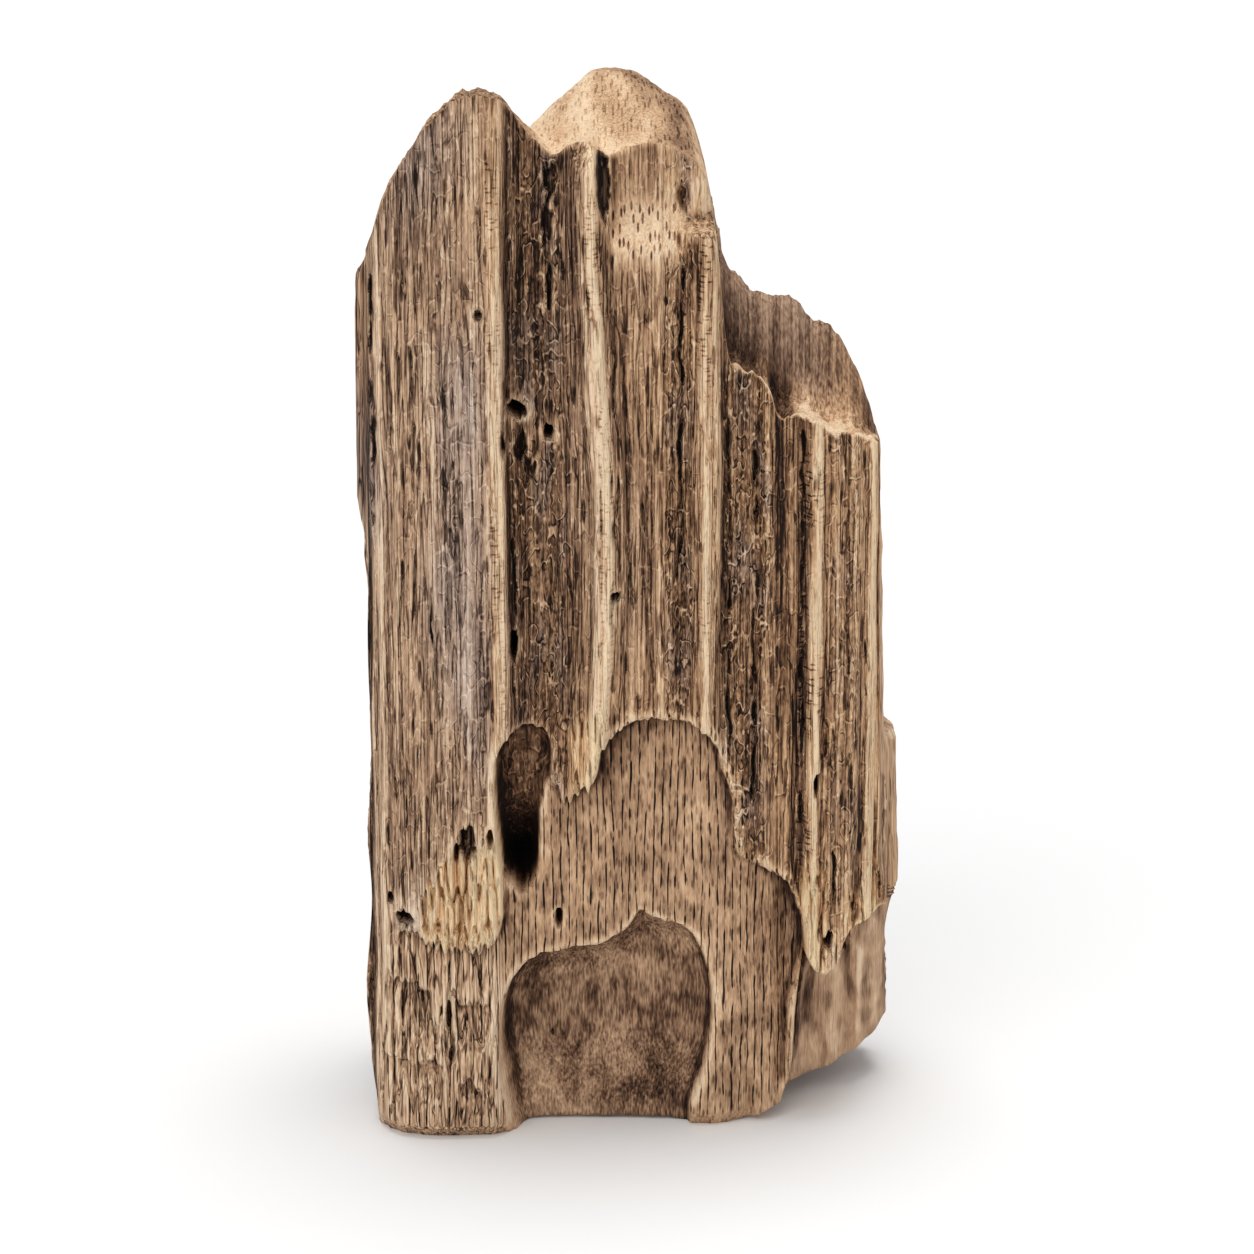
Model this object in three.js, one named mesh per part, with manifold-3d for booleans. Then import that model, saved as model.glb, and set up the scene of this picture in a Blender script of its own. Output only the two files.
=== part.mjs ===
// A weathered block of driftwood that stands on its flat, sea-worn foot: one piece of wood, one solid.
// Millimetres, +Z up along the grain, +X to the right of the fluted face, +Y away from that face.
// The block is a fine box whose surface is moved onto the wood's own form: a fluted front, hollows worn into
// it, a stepped crown, grooved sides and a back with a long split. Borer holes are then cut out of it.
import * as THREE from "three";
import { mergeVertices } from "three/addons/utils/BufferGeometryUtils.js";
import Module from "manifold-3d";

// Driving dimensions
const HEIGHT = 220;
const WIDTH = 115;
const DEPTH = 72;

// Steps of the surface across, through and up the block
const STEPS_ACROSS = 42;
const STEPS_UP = 44;
const DEPTH_STEPS = [0, 0.05, 0.1, 0.16, 0.22, 0.28, 0.34, 0.42, 0.53, 0.66, 0.82, 1];
const RISE_OF_STEPS = [[0, 0], [0.66, 0.42], [0.79, 0.78], [1, 1]]; // closest where the hollows are
const LEVEL_SHARE = 0.42; // up to this share of the height the steps lie level
const LEVEL_TOP = LEVEL_SHARE * HEIGHT;

// Ridges and grooves of the front across X: [x, depth behind the foremost plane]
const FLUTES = [
  [-55, 14], [-53.5, 9], [-51.5, 5], [-48, 2.4], [-43.5, 1], [-38.5, 0.6], [-33, 0], [-29, 0.5],
  [-27, 1.4], [-25.2, 6], [-23, 9], [-18.5, 10], [-15, 8.4], [-11.5, 6], [-8.5, 2.7], [-6.5, 2.2],
  [-5, 4.6], [-1.5, 7.2], [3, 7.4], [5, 6.5], [7, 7.5], [10, 8.8], [13, 6.4], [15.2, 4.2], [17, 5.6],
  [19, 9.8], [22, 11.4], [24.5, 12.4], [27.5, 10.2], [32, 10.6], [35, 12.2], [36.4, 9.6], [37.6, 8.4],
  [39.5, 10.5], [44.5, 12.6], [48.5, 17], [53, 27],
];
const FLUTE_SWAY = 0.6; // how far the grain wanders sideways as it climbs
const FLUTE_SWAY_LENGTH = 150;

// The upper front of the tall part is set back behind a sloping ledge
const LEDGE = { left: -6, right: 12, foot: 188.5, head: 196.5, setback: 6.4, corner: 9 };

// Outline of the crown at the front and at the back of the block: [x, height]
const CROWN_FRONT = [
  [-57, 182], [-53.8, 188], [-50.2, 199.6], [-46, 206.4], [-42, 212.7], [-37, 218.2], [-31.3, HEIGHT],
  [-26.9, 218.3], [-23.5, 214.5], [-20.5, 209.5], [-16.5, 206.5], [-12.5, 209.8], [-7, 207.4],
  [1, 207.4], [11, 206], [13.8, 203], [15.6, 196], [17, 187], [17.9, 176], [18.8, 165], [21, 162.2],
  [26.4, 161], [27.8, 158], [29, 153.2], [31, 152.6], [33, 153.9], [36, 152.4], [40, 150], [49, 147],
  [55, 139],
];
const CROWN_BACK = [
  [-57, 179], [-50, 186], [-40, 194], [-30, 201], [-21.5, 208], [-15.4, 213.7], [-9.2, 219.1],
  [-5, HEIGHT], [1.2, 218.5], [6.4, 214.7], [11.1, 211.7], [13.8, 204], [16, 194.6], [17.2, 186],
  [18.5, 180], [22, 177.2], [25, 174.6], [33.4, 173.7], [35.8, 170.9], [42, 168], [45.2, 161.7],
  [49.3, 151], [51.5, 143], [57, 134],
];
// Depths where the back outline takes over from the front one: on the slab, the tall face and the right step
const CROWN_RISE = { slab: [13, 29], tall: [15, 42], step: [24, 31], slabEnd: [-27, -18], tallEnd: [15, 19] };
const CROWN_FALL = { start: 48, drop: 9 }; // the crown falls away towards the back
const CROWN_PITS = [
  { x: 25, depth: 20.5, across: 5, through: 3.4, drop: 4.2 },
  { x: 31, depth: 19, across: 3.4, through: 3.6, drop: 2.6 },
  { x: -36, depth: 50, across: 9, through: 8, drop: 5 },
];
const CROWN_GRAIN = { length: 9.4, height: 0.9 }; // broken fibre ends of the tall part, in rows along Y

// Sides: [height, x], with a strip that stands out on the left and a slab on the right
const LEFT_SIDE = [
  [0, -54.2], [14, -55.6], [28, -56.6], [50, -55.2], [62, -55.8], [80, -54.9], [105, -55.3], [122, -54.9],
  [200, -54.2],
];
const LEFT_STRIP = { foot: [127, 137], head: [180, 187], depth: [14, 20], out: 2.6 };
const RIGHT_SIDE = [
  [0, 54.6], [16, 55.2], [38, 54.6], [60, 53.6], [86, 52.9], [118, 52.4], [140, 51.6], [200, 50.5],
];
const RIGHT_SLAB = { foot: [30, 48], head: [77, 80], depth: [34, 44], out: 3.25 };
// Grooves along both sides: [depth, inward]
const SIDE_GROOVES = [
  [20, 0], [26, 1.4], [31, 0.2], [37, 1.8], [43, 0], [50, 0.4], [56, 2.2], [62, 0.6], [72, 0],
];

// Back across X: [x, depth], with a long drying split
const BACK = [
  [-57, 56], [-52, 63.5], [-45, 69.5], [-38, 71], [-33, 67.4], [-28, 70.6], [-22, DEPTH], [-17, 70.4],
  [-14.6, 63], [-12, 70], [-5, 71.4], [1, 67.8], [6, 70.6], [14, 71.4], [20, 68], [26, 70.4], [34, 71],
  [39, 66.6], [44, 67], [50, 61], [57, 54],
];
const BACK_LEAN = { start: 140, inward: 6 }; // the back leans in towards the crown

// The broken inner face under the flutes: outline [x, z], then its depth across X
const INNER_FACE = [
  [-49.5, 44], [-47.5, 45], [-44.5, 42], [-38.5, 40], [-31, 41], [-28.5, 44], [-28, 54.5], [-28.3, 81],
  [-24.5, 87.5], [-20.5, 88], [-17.5, 85.5], [-16.8, 75.5], [-14.5, 73], [-11, 74], [-9, 78.5], [-7, 84],
  [-2, 88.5], [3.5, 90], [9.5, 89.5], [14.5, 87.5], [17.5, 84], [19, 78], [21, 72], [21.5, 64.5],
  [22.5, 58.5], [27.5, 56], [32.5, 53.5], [35.5, 47.5], [36.5, 40.5], [35, 34], [33.5, 26.5], [33, 12.5],
  [31, -8], [-49.5, -8],
];
const INNER_DEPTH = [
  [-50, 4.6], [-40, 4.4], [-30, 5], [-26, 8], [-20, 10.4], [-10, 12], [5, 13], [18, 12.8], [22, 13.6],
  [28, 15.6], [33, 19], [38, 22],
];
const INNER_RIM = 3.4;
const INNER_FOOT = { height: 45, forward: 3.6 }; // the face comes forward towards the floor
const INNER_HEAD = { foot: 60, head: 90, inward: 1.6 }; // and is hollowed under the flutes' broken ends

// Hollows worn into the face, in the order they are cut: outline [x, z], rim width, and bed depth
const ARCH = {
  outline: [
    [-29, 15], [-28, 28.5], [-25, 34.5], [-21, 37.5], [-13.5, 39], [-7, 40], [-2, 43], [1, 47], [4.5, 45.5],
    [11.5, 43], [15, 37.5], [17, 27.5], [15.5, 14], [12.5, 5.5], [10.5, -6], [-22, -6],
  ],
  rim: 2.6,
  edge: 12,
  bowl: 9,
  bed: () => 21,
};
const RIGHT_BAY_BED = [[32, 26], [40, 30], [48, 36], [57, 47]];
const RIGHT_BAY = {
  outline: [
    [36, 42], [37, 36], [40, 33], [42.5, 34.5], [44.5, 40.5], [48.5, 43], [60, 44], [62, -8], [31, -8],
    [33, 12.5], [34, 28],
  ],
  rim: 3,
  edge: 20,
  bowl: 6,
  bed: (x) => profile(RIGHT_BAY_BED, x),
};
const POCKET = {
  outline: [
    [-28.2, 84], [-24.5, 87.5], [-20.5, 88], [-17.5, 85.5], [-17, 74], [-18, 63], [-19.5, 55.5],
    [-23.5, 53], [-26.5, 55.5], [-28, 61.5],
  ],
  rim: 2.2,
  edge: 11,
  bowl: 4.5,
  bed: (x, z) => 16 + 10 * smooth(80, 60, z),
};
const BACK_HOLLOWS = [
  {
    outline: [[9, 16], [12, 46], [20, 72], [31, 78], [38, 60], [40, 30], [34, 8], [18, 4]],
    bowl: 13,
    inward: 8,
  },
  {
    outline: [[-46, 96], [-44, 128], [-37, 150], [-29, 140], [-27, 112], [-33, 88], [-41, 84]],
    bowl: 9,
    inward: 6,
  },
  {
    outline: [[0, 176], [4, 206], [12, 226], [24, 226], [17, 186], [9, 160]],
    bowl: 9,
    inward: 6,
  },
];
const OUTLINE_POINTS = 4; // drawn between two given points of an outline

// The foot: lifted from the floor at the broken right corner, and a little under the arch
const FOOT_LIFT = [[29, 0], [33.5, 2.4], [45, 5.5], [51, 9], [57.5, 14.5]];
const ARCH_LIFT = { left: [-25, -19], right: [6, 11], depth: [34, 22], height: 1.2 };

// Borer holes: mouth [x, z], half width, half height, and the depth where each starts and ends
const BORER_HOLES = [
  { x: -24, z: 155, halfWidth: 1.85, halfHeight: 1.2, from: 4, to: 24 },
  { x: -17.5, z: 150, halfWidth: 0.95, halfHeight: 0.95, from: 4, to: 20 },
  { x: -4, z: 116.5, halfWidth: 0.8, halfHeight: 0.8, from: 1, to: 16 },
];
const BORER_SIDES = 10;
const SHAFT = { x: -23, z: 62.5, depth: 26, halfWidth: 4.6, halfHeight: 8.5, halfDepth: 13, dip: 0.35 };

const WOOD_COLOUR = 0x957a5d;

// A smooth ramp from 0 at one value to 1 at another, which may be the smaller.
function smooth(from, to, value) {
  const share = THREE.MathUtils.clamp((value - from) / (to - from), 0, 1);
  return share * share * (3 - 2 * share);
}

// A curve through [place, value] points that is level at each of them.
function profile(points, place, ease = smooth) {
  const next = points.findIndex(([at]) => at > place);
  if (next === 0) return points[0][1];
  if (next < 0) return points[points.length - 1][1];
  const [from, low] = points[next - 1];
  const [to, high] = points[next];
  return THREE.MathUtils.lerp(low, high, ease(from, to, place));
}

// Straight lines between [place, value] points.
function polyline(points, place) {
  return profile(points, place, THREE.MathUtils.inverseLerp);
}

// A round swell that is 1 at its middle and fades with distance, given as a share of its reach.
function swell(...shares) {
  return Math.exp(-shares.reduce((sum, share) => sum + share * share, 0));
}

// A closed outline, rounded through its points.
function roundedOutline(points) {
  const corners = points.map(([x, z]) => new THREE.Vector3(x, 0, z));
  const curve = new THREE.CatmullRomCurve3(corners, true, "centripetal");
  return curve.getPoints(points.length * OUTLINE_POINTS).map((p) => new THREE.Vector2(p.x, p.z));
}

// How far a place lies inside an outline; negative outside it.
function distanceInside(outline, x, z) {
  let nearest = Infinity;
  let inside = false;
  for (let i = 1; i < outline.length; i++) {
    const a = outline[i - 1];
    const b = outline[i];
    const along = (x - a.x) * (b.x - a.x) + (z - a.y) * (b.y - a.y);
    const share = THREE.MathUtils.clamp(along / a.distanceToSquared(b), 0, 1);
    nearest = Math.min(nearest, Math.hypot(x - a.x - share * (b.x - a.x), z - a.y - share * (b.y - a.y)));
    const crosses = a.y > z !== b.y > z && x < a.x + ((z - a.y) / (b.y - a.y)) * (b.x - a.x);
    if (crosses) inside = !inside;
  }
  return inside ? nearest : -nearest;
}

const rounded = (hollow) => ({ ...hollow, outline: roundedOutline(hollow.outline) });
const innerOutline = roundedOutline(INNER_FACE);
const hollows = [RIGHT_BAY, ARCH, POCKET].map(rounded);
const backHollows = BACK_HOLLOWS.map(rounded);

// The share of a bowl's full depth at a distance inside its outline.
function bowlShare(inside, bowl) {
  const toBed = 1 - THREE.MathUtils.clamp(inside / bowl, 0, 1);
  return Math.sqrt(1 - toBed * toBed);
}

function flutedDepth(x, z) {
  const sway = FLUTE_SWAY * Math.sin((2 * Math.PI * z) / FLUTE_SWAY_LENGTH);
  const fluted = profile(FLUTES, x + sway);
  const corner = LEDGE.corner * smooth(LEDGE.right, LEDGE.right + 6, x);
  const setback = (LEDGE.setback + corner) * smooth(LEDGE.left, LEDGE.left + 2, x);
  return fluted + setback * smooth(LEDGE.foot, LEDGE.head, z);
}

function innerDepth(x, z) {
  const forward = INNER_FOOT.forward * smooth(INNER_FOOT.height, 0, z);
  const inward = INNER_HEAD.inward * smooth(INNER_HEAD.foot, INNER_HEAD.head, z);
  return profile(INNER_DEPTH, x) - forward + inward;
}

// Depth of the front behind its foremost plane.
function frontDepth(x, z) {
  let depth = flutedDepth(x, z);
  const opened = smooth(0, INNER_RIM, distanceInside(innerOutline, x, z));
  depth = THREE.MathUtils.lerp(depth, Math.max(depth, innerDepth(x, z)), opened);
  for (const hollow of hollows) {
    const inside = distanceInside(hollow.outline, x, z);
    if (inside <= 0) continue;
    const bed = THREE.MathUtils.lerp(hollow.edge, hollow.bed(x, z), bowlShare(inside, hollow.bowl));
    depth = THREE.MathUtils.lerp(depth, Math.max(depth, bed), smooth(0, hollow.rim, inside));
  }
  return depth;
}

function backDepth(x, z) {
  const sway = FLUTE_SWAY * Math.cos((2 * Math.PI * z) / FLUTE_SWAY_LENGTH);
  let depth = profile(BACK, x + 2 * sway) - BACK_LEAN.inward * smooth(BACK_LEAN.start, HEIGHT, z);
  for (const { outline, bowl, inward } of backHollows) {
    depth -= inward * smooth(0, 1, bowlShare(distanceInside(outline, x, z), bowl));
  }
  return depth;
}

function crownHeight(x, depth) {
  const { slab, tall, step, slabEnd, tallEnd } = CROWN_RISE;
  const pastSlab = smooth(...slabEnd, x);
  const pastTall = smooth(...tallEnd, x);
  const [start, end] = [0, 1].map((i) =>
    THREE.MathUtils.lerp(THREE.MathUtils.lerp(slab[i], tall[i], pastSlab), step[i], pastTall),
  );
  let height = THREE.MathUtils.lerp(profile(CROWN_FRONT, x), profile(CROWN_BACK, x), smooth(start, end, depth));
  for (const pit of CROWN_PITS) {
    height -= pit.drop * swell((x - pit.x) / pit.across, (depth - pit.depth) / pit.through);
  }
  const grain = CROWN_GRAIN.height * (1 - Math.abs(Math.sin((Math.PI * x) / CROWN_GRAIN.length)));
  height -= grain * smooth(start, end, depth) * (1 - pastTall);
  return height - CROWN_FALL.drop * smooth(CROWN_FALL.start, DEPTH, depth);
}

function footHeight(x, depth) {
  const { left, right, depth: reach, height } = ARCH_LIFT;
  const across = smooth(left[0], left[1], x) * smooth(right[1], right[0], x);
  return profile(FOOT_LIFT, x) + height * across * smooth(reach[0], reach[1], depth);
}

function leftSide(depth, z) {
  const { foot, head, depth: reach, out } = LEFT_STRIP;
  const strip = smooth(foot[0], foot[1], z) * smooth(head[1], head[0], z) * smooth(reach[0], reach[1], depth);
  return profile(LEFT_SIDE, z) - out * strip + profile(SIDE_GROOVES, depth);
}

function rightSide(depth, z) {
  const { foot, head, depth: reach, out } = RIGHT_SLAB;
  const slab = smooth(foot[0], foot[1], z) * smooth(head[1], head[0], z) * smooth(reach[0], reach[1], depth);
  return profile(RIGHT_SIDE, z) + out * slab - profile(SIDE_GROOVES, depth);
}

// Height of a share of the steps up: level at first, then drawn out to the crown.
function heightOf(share, x, depth) {
  const rise = polyline(RISE_OF_STEPS, share);
  if (rise <= LEVEL_SHARE) return THREE.MathUtils.lerp(footHeight(x, depth), LEVEL_TOP, rise / LEVEL_SHARE);
  return THREE.MathUtils.lerp(LEVEL_TOP, crownHeight(x, depth), (rise - LEVEL_SHARE) / (1 - LEVEL_SHARE));
}

// A place on the unit box, moved onto the wood. Sides, depth and height depend on each other, so they settle in
// turns.
function ontoWood(across, through, up) {
  const turns = 4;
  let x = (across - 0.5) * WIDTH;
  let depth = through * DEPTH;
  let z = up * HEIGHT;
  for (let turn = 0; turn < turns; turn++) {
    z = heightOf(up, x, depth);
    depth = THREE.MathUtils.lerp(frontDepth(x, z), backDepth(x, z), through);
    x = THREE.MathUtils.lerp(leftSide(depth, z), rightSide(depth, z), across);
  }
  return [x, depth - DEPTH / 2, z];
}

// The steps across lie closer where the flutes turn: half are even, half follow the given ridges and grooves.
function stepsAcross() {
  const [left] = FLUTES[0];
  const [right] = FLUTES[FLUTES.length - 1];
  return Array.from({ length: STEPS_ACROSS + 1 }, (_, i) => {
    const even = i / STEPS_ACROSS;
    const at = even * (FLUTES.length - 1);
    const before = Math.min(Math.floor(at), FLUTES.length - 2);
    const x = THREE.MathUtils.lerp(FLUTES[before][0], FLUTES[before + 1][0], at - before);
    return (even + (x - left) / (right - left)) / 2;
  });
}

// The whole block before the holes are cut.
function blockGeometry() {
  const acrossAt = stepsAcross();
  const depthSteps = DEPTH_STEPS.length - 1;
  const box = new THREE.BoxGeometry(1, 1, 1, STEPS_ACROSS, depthSteps, STEPS_UP);
  box.deleteAttribute("normal");
  box.deleteAttribute("uv");
  const geometry = mergeVertices(box);
  const places = geometry.getAttribute("position");
  for (let i = 0; i < places.count; i++) {
    const across = acrossAt[Math.round((places.getX(i) + 0.5) * STEPS_ACROSS)];
    const through = DEPTH_STEPS[Math.round((places.getY(i) + 0.5) * depthSteps)];
    const up = places.getZ(i) + 0.5;
    places.setXYZ(i, ...ontoWood(across, through, up));
  }
  return geometry;
}

// A borer hole as a plug: an oval pin that runs straight back from the face.
function borerPlug({ x, z, halfWidth, halfHeight, from, to }) {
  const plug = new THREE.CylinderGeometry(1, 1, to - from, BORER_SIDES);
  plug.scale(halfWidth, 1, halfHeight);
  return plug.translate(x, (from + to) / 2 - DEPTH / 2, z);
}

// The dark shaft at the bottom of the pocket, as a plug that dips inwards.
function shaftPlug() {
  const plug = new THREE.SphereGeometry(1, BORER_SIDES, BORER_SIDES);
  plug.scale(SHAFT.halfWidth, SHAFT.halfDepth, SHAFT.halfHeight);
  plug.rotateX(-SHAFT.dip);
  return plug.translate(SHAFT.x, SHAFT.depth - DEPTH / 2, SHAFT.z);
}

const wasm = await Module();
wasm.setup();

function solidOf(geometry) {
  geometry.deleteAttribute("normal");
  geometry.deleteAttribute("uv");
  const merged = mergeVertices(geometry);
  const vertProperties = new Float32Array(merged.getAttribute("position").array);
  const triVerts = new Uint32Array(merged.index.array);
  return new wasm.Manifold(new wasm.Mesh({ numProp: 3, vertProperties, triVerts }));
}

function geometryOf(solid) {
  const { vertProperties, triVerts } = solid.getMesh();
  const geometry = new THREE.BufferGeometry();
  geometry.setAttribute("position", new THREE.BufferAttribute(vertProperties, 3));
  geometry.setIndex(new THREE.BufferAttribute(triVerts, 1));
  geometry.computeVertexNormals();
  return geometry;
}

function driftwood() {
  let solid = solidOf(blockGeometry());
  for (const hole of BORER_HOLES) solid = solid.subtract(solidOf(borerPlug(hole)));
  solid = solid.subtract(solidOf(shaftPlug()));
  const wood = new THREE.MeshStandardMaterial({ color: WOOD_COLOUR, roughness: 0.85, metalness: 0 });
  const mesh = new THREE.Mesh(geometryOf(solid), wood);
  mesh.name = "driftwood";
  return mesh;
}

const part = new THREE.Group();
part.add(driftwood());

export default part;
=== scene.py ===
import math

import bpy
import numpy as np
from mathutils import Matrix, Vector


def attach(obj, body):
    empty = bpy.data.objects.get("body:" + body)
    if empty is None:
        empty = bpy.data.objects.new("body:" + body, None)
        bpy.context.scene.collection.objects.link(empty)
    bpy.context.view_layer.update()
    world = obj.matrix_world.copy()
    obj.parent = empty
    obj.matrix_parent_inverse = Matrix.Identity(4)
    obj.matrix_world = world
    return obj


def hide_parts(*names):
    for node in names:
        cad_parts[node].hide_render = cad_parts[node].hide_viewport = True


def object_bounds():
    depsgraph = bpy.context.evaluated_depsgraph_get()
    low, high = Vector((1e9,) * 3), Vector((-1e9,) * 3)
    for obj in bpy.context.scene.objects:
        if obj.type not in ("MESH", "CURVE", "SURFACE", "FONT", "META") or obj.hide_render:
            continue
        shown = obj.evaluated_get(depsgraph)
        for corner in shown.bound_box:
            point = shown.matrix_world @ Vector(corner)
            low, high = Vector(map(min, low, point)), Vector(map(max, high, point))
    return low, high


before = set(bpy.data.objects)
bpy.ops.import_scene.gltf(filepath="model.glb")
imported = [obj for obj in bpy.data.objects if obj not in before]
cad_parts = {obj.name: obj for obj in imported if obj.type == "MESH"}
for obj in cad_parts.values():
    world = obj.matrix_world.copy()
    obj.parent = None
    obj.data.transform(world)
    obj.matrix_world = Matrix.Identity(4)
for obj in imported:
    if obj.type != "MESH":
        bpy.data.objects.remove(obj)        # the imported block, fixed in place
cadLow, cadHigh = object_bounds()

print("frame: block loaded")

mm = 0.001

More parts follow.
